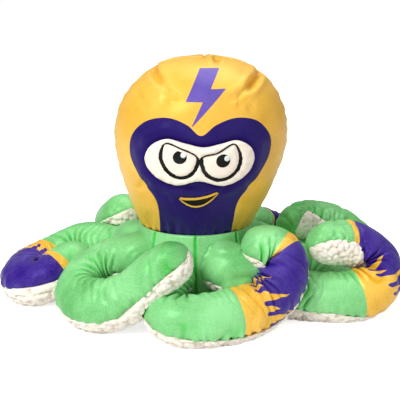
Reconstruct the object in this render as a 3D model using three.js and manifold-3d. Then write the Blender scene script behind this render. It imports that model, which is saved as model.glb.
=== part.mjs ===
// A plush octopus: a stuffed head on a short trunk, and eight stuffed arms that curl anticlockwise.
// Millimetres, +Z up. The face looks towards -Y, and the origin lies on the floor under the neck.
import * as THREE from 'three';
import { mergeVertices } from 'three/addons/utils/BufferGeometryUtils.js';
import Module from 'manifold-3d';

const wasm = await Module();
wasm.setup();

const vertical = new THREE.Vector3(0, 0, 1);

// Driving sizes of the fabric and the seams
const seamGap = 0.3;
const nodGap = 0.9;
const fabricThickness = 2;
const fleeceThickness = 6;
const cutOverrun = 5;
const floorDent = 0.5;
const weldDistance = 0.001;
const finestDetail = 0.02;

// Driving sizes of the head
const headWidth = 152;
const headDepth = 130;
const headHeight = 152;
const headLean = 8;
const neckSeamHeight = 77;
const neckWidth = 99;
const neckDepth = 85;
const neckPivotRise = 19;
const headNodDegrees = 8;
const widestShare = 0.546;
const crownPower = 2.1;
const cheekPower = 1.8;

// Driving sizes of the trunk
const trunkWidth = 104;
const trunkDepth = 96;
const trunkRimLedge = 1.5;
const trunkSwellShares = [
  [0.0, 0.8],
  [0.12, 0.92],
  [0.35, 1.0],
  [0.7, 1.0],
  [0.9, 0.99],
];

// Driving sizes of the arms
const armCount = 8;
const armWidth = 44;
const armHeightShare = 0.92;
const armRootHeight = 50;
const soleDipDegrees = 20;
const bendSlackShare = 0.7;
const armSeatShare = 0.8;
const armSwellShares = [0.84, 0.87, 0.93, 1.0, 1.04, 1.06, 1.05, 1.02, 0.98, 0.94];
const tipCrowding = 1.15;
const evenPasses = 2;
const evenShare = 0.5;
const armSwingDegrees = 20;

// Driving sizes of the face
const patchThickness = 5;
const threadHeight = 0.8;
const eyeLineWidth = 2.4;
const pupilDiameter = 10.8;
const highlightDiameter = 4;
const mouthTrimWidth = 1.5;
const mouthUpperSag = 3;
const mouthLowerSag = 10.5;

// Counts
const headSides = 28;
const headLevels = 14;
const ballLevels = 7;
const trunkSides = 32;
const armSteps = 22;
const swingSteps = 12;
const upperSides = 6;
const lowerSides = 4;
const outlineSteps = 24;

// Each arm's route, from its root on the trunk: places to +X and +Y and the lift off the floor as
// shares of the arm's width, and how far its upper side leans from the vertical, in degrees, towards
// the direction leanTowards. hingeShare says where along its length the arm bends.
const arms = [
  {
    tipShare: 0.72,
    hingeShare: 0.4,
    leanTowards: -90,
    routeShares: [
      [-0.18, -0.42, 0.38, 0],
      [-0.14, -0.85, 0.06, 0],
      [0.12, -1.12, 0, 0],
      [0.62, -1.08, 0, 10],
      [1.3, -0.82, 0.03, 28],
      [1.88, -0.5, 0.22, 48],
      [2.15, -0.38, 0.6, 65],
      [2.2, -0.22, 0.98, 65],
      [1.95, -0.08, 1.14, 45],
      [1.35, -0.25, 1.1, 30],
    ],
  },
  {
    tipShare: 0.7,
    hingeShare: 0.45,
    leanTowards: 130,
    routeShares: [
      [0.37, -0.1, 0.55, 0],
      [0.96, 0.03, 0.2, 0],
      [1.55, 0.28, 0.02, 0],
      [2.3, 0.18, 0, 0],
      [3.05, 0.28, 0.05, -25],
      [3.32, 0.68, 0.42, -60],
      [3.05, 0.86, 0.78, -35],
      [2.7, 0.82, 0.95, 0],
      [2.2, 0.62, 0.99, 25],
      [1.82, 0.36, 0.97, 35],
    ],
  },
  {
    tipShare: 0.7,
    hingeShare: 0.42,
    leanTowards: 0,
    routeShares: [
      [0.5, 0.32, 0.58, 0],
      [1.07, 0.87, 0.22, 0],
      [1.8, 1.28, 0, 0],
      [2.3, 1.7, 0.02, 10],
      [2.52, 2.15, 0.2, 25],
      [2.25, 2.45, 0.48, 20],
      [1.75, 2.38, 0.7, 0],
      [1.28, 2.18, 0.82, -20],
      [1.0, 1.85, 0.84, -40],
      [1.05, 1.5, 0.78, -45],
    ],
  },
  {
    tipShare: 0.75,
    hingeShare: 0.48,
    leanTowards: 0,
    routeShares: [
      [0.5, 0.45, 0.4, 0],
      [1.05, 1.0, 0.03, 0],
      [1.3, 1.7, 0, 0],
      [1.2, 2.35, 0.02, 0],
      [0.7, 2.7, 0.1, 0],
      [0.22, 2.4, 0.38, 0],
      [0.18, 1.75, 0.64, 0],
    ],
  },
  {
    tipShare: 0.75,
    hingeShare: 0.45,
    leanTowards: 0,
    routeShares: [
      [0.05, 0.8, 0.35, 0],
      [0.2, 1.55, 0.02, 0],
      [0.18, 2.2, 0, 0],
      [-0.2, 2.7, 0.04, 0],
      [-0.66, 2.62, 0.37, 0],
      [-0.81, 2.12, 0.71, 0],
      [-0.7, 1.55, 0.91, 0],
    ],
  },
  {
    tipShare: 0.8,
    hingeShare: 0.42,
    leanTowards: 0,
    routeShares: [
      [-0.1, 0.85, 0.35, 0],
      [-0.3, 1.6, 0.03, 0],
      [-0.85, 2.0, 0.03, 0],
      [-1.35, 1.6, 0.38, 0],
      [-1.25, 1.0, 0.84, 0],
      [-0.95, 0.5, 1.16, 0],
    ],
  },
  {
    tipShare: 0.85,
    hingeShare: 0.44,
    leanTowards: 90,
    routeShares: [
      [-0.45, 0.42, 0.42, 0],
      [-0.94, 0.95, 0.42, 0],
      [-1.5, 1.18, 0.34, 0],
      [-2.0, 0.85, 0.08, 0],
      [-2.44, 0.35, 0, 0],
      [-2.52, -0.28, 0, 10],
      [-2.14, -0.57, 0.02, 15],
      [-1.7, -0.28, 0.24, 20],
      [-1.27, 0.27, 0.52, 20],
    ],
  },
  {
    tipShare: 1.02,
    hingeShare: 0.48,
    leanTowards: 90,
    routeShares: [
      [-0.6, 0.12, 0.6, 0],
      [-1.05, 0.0, 0.38, 0],
      [-1.22, -0.5, 0.06, 0],
      [-0.88, -0.95, 0.0, 0],
      [-0.3, -1.18, 0.2, 5],
      [0.15, -1.28, 0.62, 10],
      [0.6, -1.32, 1.04, 15],
      [0.95, -1.28, 1.32, 15],
    ],
  },
];

// The face's outlines, as shares of the head's width across and of its height above the neck seam
const patchOutlineShares = [
  [-0.296, 0.468],
  [-0.27, 0.546],
  [-0.19, 0.592],
  [-0.08, 0.572],
  [0.02, 0.553],
  [0.11, 0.57],
  [0.2, 0.584],
  [0.275, 0.536],
  [0.292, 0.463],
  [0.25, 0.385],
  [0.14, 0.335],
  [0.0, 0.366],
  [-0.12, 0.339],
  [-0.24, 0.385],
];
const leftEyeOutlineShares = [
  [-0.182, 0.572],
  [-0.1, 0.552],
  [-0.014, 0.506],
  [-0.018, 0.45],
  [-0.05, 0.407],
  [-0.105, 0.394],
  [-0.165, 0.43],
  [-0.2, 0.505],
];
const rightEyeOutlineShares = [
  [0.012, 0.506],
  [0.085, 0.528],
  [0.172, 0.57],
  [0.206, 0.498],
  [0.192, 0.43],
  [0.147, 0.389],
  [0.095, 0.382],
  [0.042, 0.41],
  [0.016, 0.453],
];
const leftPupilShare = [-0.101, 0.508];
const rightPupilShare = [0.116, 0.489];
const highlightStepShare = [0.018, 0.014];
const mouthLeftShare = [-0.1, 0.258];
const mouthRightShare = [0.114, 0.294];

// Materials, one for each mesh
const colours = {
  yellowVelour: 0xfac749,
  greenVelour: 0x97d48d,
  creamFleece: 0xf1e8da,
  stuffing: 0xf4f2ee,
  blackThread: 0x14121a,
  whiteThread: 0xffffff,
  yellowThread: 0xf2c14a,
};

function clothMaterial(colour) {
  return new THREE.MeshStandardMaterial({ color: colour, roughness: 0.95, metalness: 0 });
}

// A closed triangle mesh becomes a solid; triangles that have shrunk to a line are left out.
function solidFrom(positions, faces) {
  let geometry = new THREE.BufferGeometry();
  geometry.setAttribute('position', new THREE.Float32BufferAttribute(positions, 3));
  geometry.setIndex(faces);
  geometry = mergeVertices(geometry, weldDistance);
  const index = geometry.index.array;
  const kept = [];
  for (let i = 0; i < index.length; i += 3) {
    const [a, b, c] = [index[i], index[i + 1], index[i + 2]];
    if (a !== b && b !== c && c !== a) {
      kept.push(a, b, c);
    }
  }
  return new wasm.Manifold(new wasm.Mesh({
    numProp: 3,
    vertProperties: new Float32Array(geometry.attributes.position.array),
    triVerts: new Uint32Array(kept),
  }));
}

function solidFromGeometry(geometry) {
  const source = geometry.clone();
  source.deleteAttribute('normal');
  source.deleteAttribute('uv');
  const merged = mergeVertices(source);
  return new wasm.Manifold(new wasm.Mesh({
    numProp: 3,
    vertProperties: new Float32Array(merged.attributes.position.array),
    triVerts: new Uint32Array(merged.index.array),
  }));
}

function box(minimum, maximum) {
  const size = maximum.clone().sub(minimum);
  const geometry = new THREE.BoxGeometry(size.x, size.y, size.z);
  geometry.translate(
    (minimum.x + maximum.x) / 2,
    (minimum.y + maximum.y) / 2,
    (minimum.z + maximum.z) / 2,
  );
  return solidFromGeometry(geometry);
}

// Rings with the same number of points, joined by quads that are split along their shorter
// diagonals, and closed by a fan at each end
function loft(rings) {
  const count = rings[0].length;
  const positions = [];
  const faces = [];
  for (const ring of rings) {
    for (const point of ring) {
      positions.push(point.x, point.y, point.z);
    }
  }
  for (let level = 0; level + 1 < rings.length; level += 1) {
    for (let side = 0; side < count; side += 1) {
      const next = (side + 1) % count;
      const a = level * count + side;
      const b = level * count + next;
      const rising = rings[level][side].distanceTo(rings[level + 1][next]);
      const falling = rings[level][next].distanceTo(rings[level + 1][side]);
      if (rising <= falling) {
        faces.push(a, b, b + count, a, b + count, a + count);
      } else {
        faces.push(a, b, a + count, b, b + count, a + count);
      }
    }
  }
  const addCap = (level, turned) => {
    const centre = new THREE.Vector3();
    rings[level].forEach((point) => centre.add(point));
    centre.divideScalar(count);
    const middle = positions.length / 3;
    positions.push(centre.x, centre.y, centre.z);
    for (let side = 0; side < count; side += 1) {
      const a = level * count + side;
      const b = level * count + (side + 1) % count;
      faces.push(...(turned ? [middle, b, a] : [middle, a, b]));
    }
  };
  addCap(0, true);
  addCap(rings.length - 1, false);
  return solidFrom(positions, faces);
}

function ellipseRing(halfWidth, halfDepth, height, sides) {
  const ring = [];
  for (let side = 0; side < sides; side += 1) {
    const angle = (2 * Math.PI * side) / sides;
    ring.push(new THREE.Vector3(halfWidth * Math.cos(angle), halfDepth * Math.sin(angle), height));
  }
  return ring;
}

// The ball joint that the stuffed neck makes: round about the X axis through the pivot, and
// just reaching the neck seam's front and sides
const pivotHeight = neckSeamHeight + neckPivotRise;
const ballRadius = Math.hypot(neckDepth / 2, neckPivotRise);
const ballHalfWidth = (neckWidth / 2) / Math.sqrt(1 - (neckPivotRise / ballRadius) ** 2);

function ballScaleAt(height) {
  const rise = (height - pivotHeight) / ballRadius;
  return Math.sqrt(Math.max(0, 1 - rise * rise));
}

function neckBall(grow) {
  const rings = [];
  const radius = ballRadius + grow;
  for (let level = 0; level <= 2 * ballLevels; level += 1) {
    const angle = -Math.PI / 2 + (Math.PI * level) / (2 * ballLevels);
    const reach = Math.cos(angle);
    const height = pivotHeight + radius * Math.sin(angle);
    rings.push(ellipseRing((ballHalfWidth + grow) * reach, radius * reach, height, headSides));
  }
  return loft(rings);
}

// The head's section at a height: an egg that is widest at widestShare, round above it and
// drawn in to the neck below it, and no wider than the neck's ball where the head nods
const widestHeight = neckSeamHeight + widestShare * headHeight;
const nodZone = (neckDepth / 2) * Math.sin(THREE.MathUtils.degToRad(headNodDegrees)) * 2;

function headSection(height) {
  let halfWidth;
  let halfDepth;
  if (height >= widestHeight) {
    const rise = Math.min(1, (height - widestHeight) / ((1 - widestShare) * headHeight));
    const swell = (1 - rise ** crownPower) ** (1 / crownPower);
    halfWidth = (headWidth / 2) * swell;
    halfDepth = (headDepth / 2) * swell;
  } else {
    const fall = ((widestHeight - height) / (widestShare * headHeight)) ** cheekPower;
    halfWidth = THREE.MathUtils.lerp(headWidth / 2, neckWidth / 2, fall);
    halfDepth = THREE.MathUtils.lerp(headDepth / 2, neckDepth / 2, fall);
  }
  if (height < neckSeamHeight + nodZone) {
    halfWidth = Math.min(halfWidth, ballHalfWidth * ballScaleAt(height));
    halfDepth = Math.min(halfDepth, ballRadius * ballScaleAt(height));
  }
  return { halfWidth, halfDepth };
}

// The heights of the head's levels, closer together towards the crown
function headLevelHeights(bottom) {
  const heights = [];
  for (let level = 0; level <= headLevels; level += 1) {
    const share = Math.sin((Math.PI / 2) * (level / headLevels));
    heights.push(THREE.MathUtils.lerp(bottom, neckSeamHeight + headHeight, share));
  }
  return heights;
}

// The head from a flat bottom up, its surface moved outwards along the normal by grow
function headBody(bottom, grow) {
  const step = seamGap;
  const crown = neckSeamHeight + headHeight;
  const rings = headLevelHeights(bottom).map((height, level) => {
    const here = headSection(height);
    if (level === headLevels) {
      return ellipseRing(0, 0, crown + grow, headSides);
    }
    const above = headSection(Math.min(height + step, crown));
    const slope = (here.halfWidth - above.halfWidth) / step;
    const flat = level === 0 ? 0 : slope / Math.hypot(1, slope);
    const out = level === 0 ? 1 : 1 / Math.hypot(1, slope);
    return ellipseRing(
      here.halfWidth + grow * out,
      here.halfDepth + grow * out,
      height + grow * flat,
      headSides,
    );
  });
  return loft(rings);
}

// Everything above the neck seam leans sideways, in proportion to its height
function leanHead(solid) {
  const mesh = solid.getMesh();
  const points = Float32Array.from(mesh.vertProperties);
  for (let i = 0; i < points.length; i += 3) {
    points[i] += headLean * Math.max(0, (points[i + 2] - neckSeamHeight) / headHeight);
  }
  return new wasm.Manifold(new wasm.Mesh({
    numProp: 3,
    vertProperties: points,
    triVerts: mesh.triVerts,
  }));
}

// The pieces that the octopus is made of, gathered under one group
const octopus = new THREE.Group();
octopus.name = 'plush_octopus';

// The largest body of a solid: a cut through a fold can leave specks beside it, some of them
// hanging on by a single point until the triangles are read back. Slivers along the cuts, finer
// than any stitch, are smoothed away.
function largestBody(solid) {
  const bodies = solid.decompose();
  return bodies.reduce((best, body) => (body.volume() > best.volume() ? body : best));
}

function mainBody(solid) {
  const mesh = largestBody(solid).simplify(finestDetail).getMesh();
  return largestBody(solidFrom(Array.from(mesh.vertProperties), Array.from(mesh.triVerts)));
}

function addPiece(name, solid, colour) {
  const mesh = mainBody(solid).getMesh();
  const geometry = new THREE.BufferGeometry();
  geometry.setAttribute('position', new THREE.BufferAttribute(mesh.vertProperties, 3));
  geometry.setIndex(new THREE.BufferAttribute(mesh.triVerts, 1));
  geometry.computeVertexNormals();
  const piece = new THREE.Mesh(geometry, clothMaterial(colour));
  piece.name = name;
  octopus.add(piece);
  return piece;
}

// The head: its stuffing with the neck's ball, one front panel and two back panels
const far = 2 * (headWidth + headHeight);
const headHem = neckSeamHeight + seamGap;
const stuffingInset = fabricThickness + seamGap;
const headStuffing = headBody(neckSeamHeight - seamGap, -stuffingInset).add(
  neckBall(0).subtract(box(
    new THREE.Vector3(-far, -far, neckSeamHeight),
    new THREE.Vector3(far, far, far),
  )),
);
const headShell = headBody(headHem, 0).subtract(headBody(neckSeamHeight - cutOverrun, -fabricThickness));

function panelBetween(minX, minY, maxX, maxY) {
  return headShell.intersect(box(
    new THREE.Vector3(minX, minY, 0),
    new THREE.Vector3(maxX, maxY, far),
  ));
}

function addHead() {
  const half = seamGap / 2;
  addPiece('head_filling', leanHead(headStuffing), colours.stuffing);
  addPiece('head_front_panel', leanHead(panelBetween(-far, -far, far, -half)), colours.yellowVelour);
  addPiece('head_back_left_panel', leanHead(panelBetween(-far, half, -half, far)), colours.yellowVelour);
  addPiece('head_back_right_panel', leanHead(panelBetween(half, half, far, far)), colours.yellowVelour);
}

// A point of the face, from shares of the head's width and height
function facePoint([acrossShare, upShare]) {
  return new THREE.Vector2(acrossShare * headWidth, neckSeamHeight + upShare * headHeight);
}

function smoothOutline(shares) {
  const points = shares.map((share) => {
    const point = facePoint(share);
    return new THREE.Vector3(point.x, point.y, 0);
  });
  const curve = new THREE.CatmullRomCurve3(points, true, 'centripetal');
  return curve.getPoints(outlineSteps).slice(0, -1).map((point) => new THREE.Vector2(point.x, point.y));
}

function roundOutline(centre, diameter) {
  const points = [];
  for (let step = 0; step < outlineSteps; step += 1) {
    const angle = (2 * Math.PI * step) / outlineSteps;
    points.push(new THREE.Vector2(
      centre.x + (diameter / 2) * Math.cos(angle),
      centre.y + (diameter / 2) * Math.sin(angle),
    ));
  }
  return points;
}

// An outline drawn in by an inset, each point straight towards the outline's own middle
function insetOutline(points, inset) {
  const middle = new THREE.Vector2();
  points.forEach((point) => middle.add(point));
  middle.divideScalar(points.length);
  return points.map((point) => {
    const reach = point.clone().sub(middle);
    return middle.clone().add(reach.setLength(reach.length() - inset));
  });
}

// The crescent mouth drawn in by an inset: a lower and an upper sag below the line between the
// corners, each ending where the crescent is as thin as the two insets
function mouthOutline(inset) {
  const left = facePoint(mouthLeftShare);
  const right = facePoint(mouthRightShare);
  const thickness = mouthLowerSag - mouthUpperSag;
  const start = (1 - Math.sqrt(1 - (2 * inset) / thickness)) / 2;
  const sagged = (share, sag, shift) => {
    const point = left.clone().lerp(right, share);
    point.y -= sag * 4 * share * (1 - share) + shift;
    return point;
  };
  const half = outlineSteps / 2;
  const lower = [];
  const upper = [];
  for (let step = 0; step < half; step += 1) {
    const share = THREE.MathUtils.lerp(start, 1 - start, step / half);
    lower.push(sagged(share, mouthLowerSag, -inset));
    upper.push(sagged(1 - share, mouthUpperSag, inset));
  }
  return [...lower, ...upper];
}

// A piece lying on the face: its outline run through the head, between two heights off the skin
function facePrism(outline, depth) {
  const geometry = new THREE.ExtrudeGeometry(new THREE.Shape(outline), { depth, bevelEnabled: false });
  geometry.rotateX(Math.PI / 2);
  return solidFromGeometry(geometry);
}

function reliefPiece(outline, hole, from, to) {
  const prism = facePrism(outline, headDepth);
  const open = hole ? prism.subtract(facePrism(hole, headDepth + cutOverrun)) : prism;
  return open.intersect(headBody(headHem, to)).subtract(headBody(headHem - cutOverrun, from));
}

function addFace() {
  const threadFrom = patchThickness + seamGap;
  const threadTo = threadFrom + threadHeight;
  const patch = smoothOutline(patchOutlineShares);
  addPiece('eye_patch', leanHead(reliefPiece(patch, null, seamGap, patchThickness)), colours.creamFleece);
  const eyes = [
    ['left', leftEyeOutlineShares, leftPupilShare],
    ['right', rightEyeOutlineShares, rightPupilShare],
  ];
  for (const [side, outlineShares, pupilShare] of eyes) {
    const line = smoothOutline(outlineShares);
    const inside = insetOutline(line, eyeLineWidth);
    const ring = reliefPiece(line, inside, threadFrom, threadTo);
    addPiece(`eye_outline_${side}`, leanHead(ring), colours.blackThread);
    const centre = facePoint(pupilShare);
    const disc = reliefPiece(roundOutline(centre, pupilDiameter), null, threadFrom, threadTo);
    const room = facePrism(insetOutline(line, eyeLineWidth + seamGap), headDepth);
    addPiece(`pupil_${side}`, leanHead(disc.intersect(room)), colours.blackThread);
    const shineCentre = new THREE.Vector2(
      centre.x + highlightStepShare[0] * headWidth,
      centre.y + highlightStepShare[1] * headHeight,
    );
    const shine = reliefPiece(
      roundOutline(shineCentre, highlightDiameter),
      null,
      threadTo + seamGap,
      threadTo + seamGap + threadHeight,
    );
    addPiece(`highlight_${side}`, leanHead(shine), colours.whiteThread);
  }
  const mouth = mouthOutline(0);
  const trimInside = mouthOutline(mouthTrimWidth);
  const fill = mouthOutline(mouthTrimWidth + seamGap);
  const trim = reliefPiece(mouth, trimInside, seamGap, seamGap + 2 * threadHeight);
  addPiece('mouth_trim', leanHead(trim), colours.yellowThread);
  addPiece('mouth_fill', leanHead(reliefPiece(fill, null, seamGap, seamGap + threadHeight)), colours.blackThread);
}

// The trunk: a base panel of fleece, stuffing above it and eight gores of fabric round that
const trunkBottom = fleeceThickness + seamGap;

function trunkBody(bottom, top, grow) {
  const span = neckSeamHeight - trunkBottom;
  const rings = trunkSwellShares.map(([heightShare, swell]) => ellipseRing(
    (trunkWidth / 2) * swell + grow,
    (trunkDepth / 2) * swell + grow,
    heightShare === 0 ? bottom : trunkBottom + heightShare * span,
    trunkSides,
  ));
  const rimSpread = trunkRimLedge + grow;
  rings.push(ellipseRing(neckWidth / 2 + rimSpread, neckDepth / 2 + rimSpread, top, trunkSides));
  return loft(rings);
}

const trunkTop = neckSeamHeight - seamGap;
const trunkHollow = neckBall(nodGap);
const trunkStuffing = trunkBody(trunkBottom, trunkTop, -stuffingInset).subtract(trunkHollow);
const trunkShell = trunkBody(trunkBottom, trunkTop, 0)
  .subtract(trunkBody(trunkBottom - cutOverrun, trunkTop + cutOverrun, -fabricThickness))
  .subtract(trunkHollow);

// A wedge of the full height about the trunk's axis, half a seam's gap inside its two sides
function wedge(middleAngle, spread) {
  const slack = seamGap / 2 / Math.sin(spread / 2);
  const apex = new THREE.Vector2(slack * Math.cos(middleAngle), slack * Math.sin(middleAngle));
  const shape = new THREE.Shape([apex, middleAngle - spread / 2, middleAngle + spread / 2].map((entry) => (
    entry instanceof THREE.Vector2
      ? entry
      : new THREE.Vector2(apex.x + far * Math.cos(entry), apex.y + far * Math.sin(entry))
  )));
  const geometry = new THREE.ExtrudeGeometry(shape, { depth: far, bevelEnabled: false });
  return solidFromGeometry(geometry);
}

const gorePitch = (2 * Math.PI) / armCount;

function armAzimuth(number) {
  return -Math.PI + (number + 0.5) * gorePitch;
}

function addTrunk() {
  addPiece('trunk_filling', trunkStuffing, colours.stuffing);
  for (let number = 1; number <= armCount; number += 1) {
    const gore = trunkShell.intersect(wedge(armAzimuth(number), gorePitch));
    addPiece(`trunk_gore_${number}`, gore, colours.greenVelour);
  }
  const baseSwell = trunkSwellShares[0][1];
  const base = [0, fleeceThickness].map((height) => ellipseRing(
    (trunkWidth / 2) * baseSwell,
    (trunkDepth / 2) * baseSwell,
    height,
    trunkSides,
  ));
  addPiece('base_panel', loft(base), colours.creamFleece);
}

// A value read off an evenly spaced list, in a straight line between its neighbours
function valueAlong(values, place) {
  const before = Math.min(Math.floor(place), values.length - 2);
  return THREE.MathUtils.lerp(values[before], values[before + 1], place - before);
}

// The points of an arm's centre line, evenly spread but for the crowded tip and then evened out
// between their neighbours, with each point's share of the length and its lean in degrees
function armCentreLine(number) {
  const { routeShares } = arms[number - 1];
  const azimuth = armAzimuth(number);
  const root = new THREE.Vector3(
    (trunkWidth / 2) * Math.cos(azimuth),
    (trunkDepth / 2) * Math.sin(azimuth),
    armRootHeight,
  );
  const seat = root.clone().multiply(new THREE.Vector3(armSeatShare, armSeatShare, 1));
  const lying = (armWidth / 2) * armHeightShare - floorDent;
  const points = [seat, root];
  const leans = [0, 0];
  for (const [acrossShare, backShare, liftShare, lean] of routeShares) {
    points.push(new THREE.Vector3(
      root.x + acrossShare * armWidth,
      root.y + backShare * armWidth,
      lying + liftShare * armWidth,
    ));
    leans.push(lean);
  }
  const curve = new THREE.CatmullRomCurve3(points, false, 'centripetal');
  curve.arcLengthDivisions = points.length * outlineSteps;
  const line = [];
  for (let step = 0; step <= armSteps; step += 1) {
    const share = 1 - (1 - step / armSteps) ** tipCrowding;
    const place = curve.getUtoTmapping(share, 0) * (points.length - 1);
    line.push({ centre: curve.getPointAt(share), share, lean: valueAlong(leans, place) });
  }
  for (let pass = 0; pass < evenPasses; pass += 1) {
    const before = line.map((station) => station.centre.clone());
    for (let step = 1; step < armSteps; step += 1) {
      const middle = before[step - 1].clone().add(before[step + 1]).divideScalar(2);
      line[step].centre.lerp(middle, evenShare);
    }
  }
  return { line, length: curve.getLength() };
}

// An arm's stations: the centre line with the heading, the upper side, the size and the bend
function armStations(number) {
  const { tipShare, leanTowards } = arms[number - 1];
  const { line, length } = armCentreLine(number);
  const tipReach = (armWidth / 2) * tipShare;
  const swells = [...armSwellShares, tipShare];
  const sideways = new THREE.Vector3(1, 0, 0)
    .applyAxisAngle(vertical, THREE.MathUtils.degToRad(leanTowards));
  const near = (step) => line[Math.min(armSteps, Math.max(0, step))].centre;
  const stations = line.map(({ centre, share, lean: leanDegrees }, step) => {
    const heading = near(step + 1).clone().sub(near(step - 1)).normalize();
    const lean = THREE.MathUtils.degToRad(leanDegrees);
    const up = vertical.clone().multiplyScalar(Math.cos(lean)).addScaledVector(sideways, Math.sin(lean));
    up.addScaledVector(heading, -up.dot(heading)).normalize();
    const right = heading.clone().cross(up);
    const swell = valueAlong(swells, share * (swells.length - 1));
    const pastTip = Math.max(0, tipReach - (1 - share) * length) / tipReach;
    const taper = Math.sqrt(Math.max(0, 1 - pastTip * pastTip));
    return { centre, heading, up, right, radius: (armWidth / 2) * swell * taper };
  });
  stations.forEach((station, step) => {
    const before = stations[Math.max(0, step - 1)];
    const after = stations[Math.min(armSteps, step + 1)];
    const span = after.centre.distanceTo(before.centre);
    station.bend = after.heading.clone().sub(before.heading).divideScalar(span);
  });
  return stations;
}

// One ring of an arm's section, at the given angles off its upper side. On the inner side of a
// bend a point stays short of the bend's own centre, as the stuffing bunches up there.
function armRing(station, angles, grow, shift) {
  const tightness = station.bend.length();
  return angles.map((angle) => {
    const radius = station.radius > 0 ? station.radius + grow : 0;
    const offset = station.up.clone().multiplyScalar(radius * armHeightShare * Math.cos(angle))
      .addScaledVector(station.right, radius * Math.sin(angle))
      .addScaledVector(station.up, shift);
    if (tightness > 0) {
      const inwards = station.bend.clone().divideScalar(tightness);
      const excess = offset.dot(inwards) - bendSlackShare / tightness;
      if (excess > 0) {
        offset.addScaledVector(inwards, -excess);
      }
    }
    return station.centre.clone().add(offset);
  });
}

// Angles from one to the other, both in degrees, in even steps
function spreadAngles(from, to, sides) {
  const angles = [];
  for (let side = 0; side <= sides; side += 1) {
    angles.push(THREE.MathUtils.degToRad(THREE.MathUtils.lerp(from, to, side / sides)));
  }
  return angles;
}

// An arm's section is parted by a flat seam into the printed upper side and the fleece sole.
const soleEdge = 90 + soleDipDegrees;
const upperAngles = spreadAngles(-soleEdge, soleEdge, upperSides);
const lowerAngles = spreadAngles(soleEdge, 360 - soleEdge, lowerSides);
const roundAngles = [...upperAngles, ...lowerAngles.slice(1, -1)];

// A tube is joined from short lengths, so that where it folds on itself it stays one solid.
function tube(stations, angles, grow, shift) {
  const rings = stations.map((station) => armRing(station, angles, grow, shift));
  let whole = loft(rings.slice(0, 2));
  for (let step = 1; step + 1 < rings.length; step += 1) {
    whole = whole.add(loft(rings.slice(step, step + 2)));
  }
  return whole;
}

function hingeStep(number) {
  return Math.round(arms[number - 1].hingeShare * armSteps);
}

// An arm's two lengths: its root, up to the bend, and its end, a seam's gap further on
function armLengths(number) {
  const stations = armStations(number);
  const bendStep = hingeStep(number);
  const rootStations = stations.slice(0, bendStep + 1);
  const endStations = stations.slice(bendStep);
  const first = { ...endStations[0] };
  first.centre = first.centre.clone().addScaledVector(first.heading, seamGap);
  endStations[0] = first;
  return { rootStations, endStations, hinge: stations[bendStep] };
}

// An arm's end swings outwards, clockwise from above, about an upright axis at the outer side of
// the bend. What stands still is turned the other way about that axis.
function turnedBack(solid, pivot, degrees) {
  return solid.translate([-pivot.x, -pivot.y, 0]).rotate([0, 0, degrees]).translate([pivot.x, pivot.y, 0]);
}

// Every arm length is cut by the trunk and by the lengths that were made before it, a seam's gap
// clear of them, so that arms that lie on one another are pressed flat where they meet. An end is
// also cut clear of those that it passes over when it swings.
function addArms() {
  const floor = box(new THREE.Vector3(-far, -far, -far), new THREE.Vector3(far, far, 0));
  const trunk = trunkBody(0, neckSeamHeight, seamGap);
  const hinges = {};
  const lengths = [];
  for (let number = 1; number <= armCount; number += 1) {
    const { rootStations, endStations, hinge } = armLengths(number);
    const pivot = hinge.centre.clone().addScaledVector(hinge.right, hinge.radius);
    lengths.push({ number, part: 'root', stations: rootStations });
    lengths.push({ number, part: 'end', stations: endStations, pivot });
    hinges[`arm_${number}`] = { point: pivot.toArray(), axis: [0, 0, -1] };
  }
  lengths.sort((a, b) => b.part.localeCompare(a.part) || a.number - b.number);
  const earlier = [];
  for (const { number, part, stations, pivot } of lengths) {
    const cutters = [floor, trunk, ...earlier];
    for (let step = 1; pivot && step <= swingSteps; step += 1) {
      const degrees = (armSwingDegrees * step) / swingSteps;
      cutters.push(...earlier.map((other) => turnedBack(other, pivot, degrees)));
    }
    let limb = tube(stations, upperAngles, 0, 0);
    let sole = tube(stations, lowerAngles, 0, 0)
      .subtract(tube(stations, upperAngles, seamGap, -seamGap))
      .subtract(tube(stations, upperAngles, seamGap, 0))
      .subtract(limb);
    for (const cutter of cutters) {
      limb = limb.subtract(cutter);
      sole = sole.subtract(cutter);
    }
    addPiece(`arm_${number}_${part}`, limb, colours.greenVelour);
    addPiece(`sole_${number}_${part}`, sole, colours.creamFleece);
    earlier.push(tube(stations, roundAngles, seamGap, 0));
  }
  return hinges;
}

addHead();
addFace();
addTrunk();
octopus.userData.hinges = addArms();
octopus.userData.hinges.head = { point: [0, 0, pivotHeight], axis: [1, 0, 0] };

export default octopus;
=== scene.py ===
"""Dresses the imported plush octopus: velour skins, fleece soles, an embroidered face and a studio."""

import logging
import math
from collections.abc import Callable
from dataclasses import dataclass, field
from enum import Enum

import bpy
import numpy as np
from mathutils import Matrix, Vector

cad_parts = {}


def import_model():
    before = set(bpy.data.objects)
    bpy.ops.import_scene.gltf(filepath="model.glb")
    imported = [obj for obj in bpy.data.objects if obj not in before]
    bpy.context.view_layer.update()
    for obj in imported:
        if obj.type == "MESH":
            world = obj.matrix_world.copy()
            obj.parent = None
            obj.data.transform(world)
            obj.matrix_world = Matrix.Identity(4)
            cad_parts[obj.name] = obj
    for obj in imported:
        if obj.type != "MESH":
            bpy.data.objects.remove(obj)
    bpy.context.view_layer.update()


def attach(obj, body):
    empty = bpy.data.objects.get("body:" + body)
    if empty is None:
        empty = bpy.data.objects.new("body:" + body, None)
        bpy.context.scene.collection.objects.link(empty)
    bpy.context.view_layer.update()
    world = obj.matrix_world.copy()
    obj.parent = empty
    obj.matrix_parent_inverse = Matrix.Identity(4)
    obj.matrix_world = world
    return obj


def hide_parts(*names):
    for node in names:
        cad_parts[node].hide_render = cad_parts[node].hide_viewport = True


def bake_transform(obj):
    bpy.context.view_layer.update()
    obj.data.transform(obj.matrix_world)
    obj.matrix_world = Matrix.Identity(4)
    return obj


log = logging.getLogger("octopus")

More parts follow.
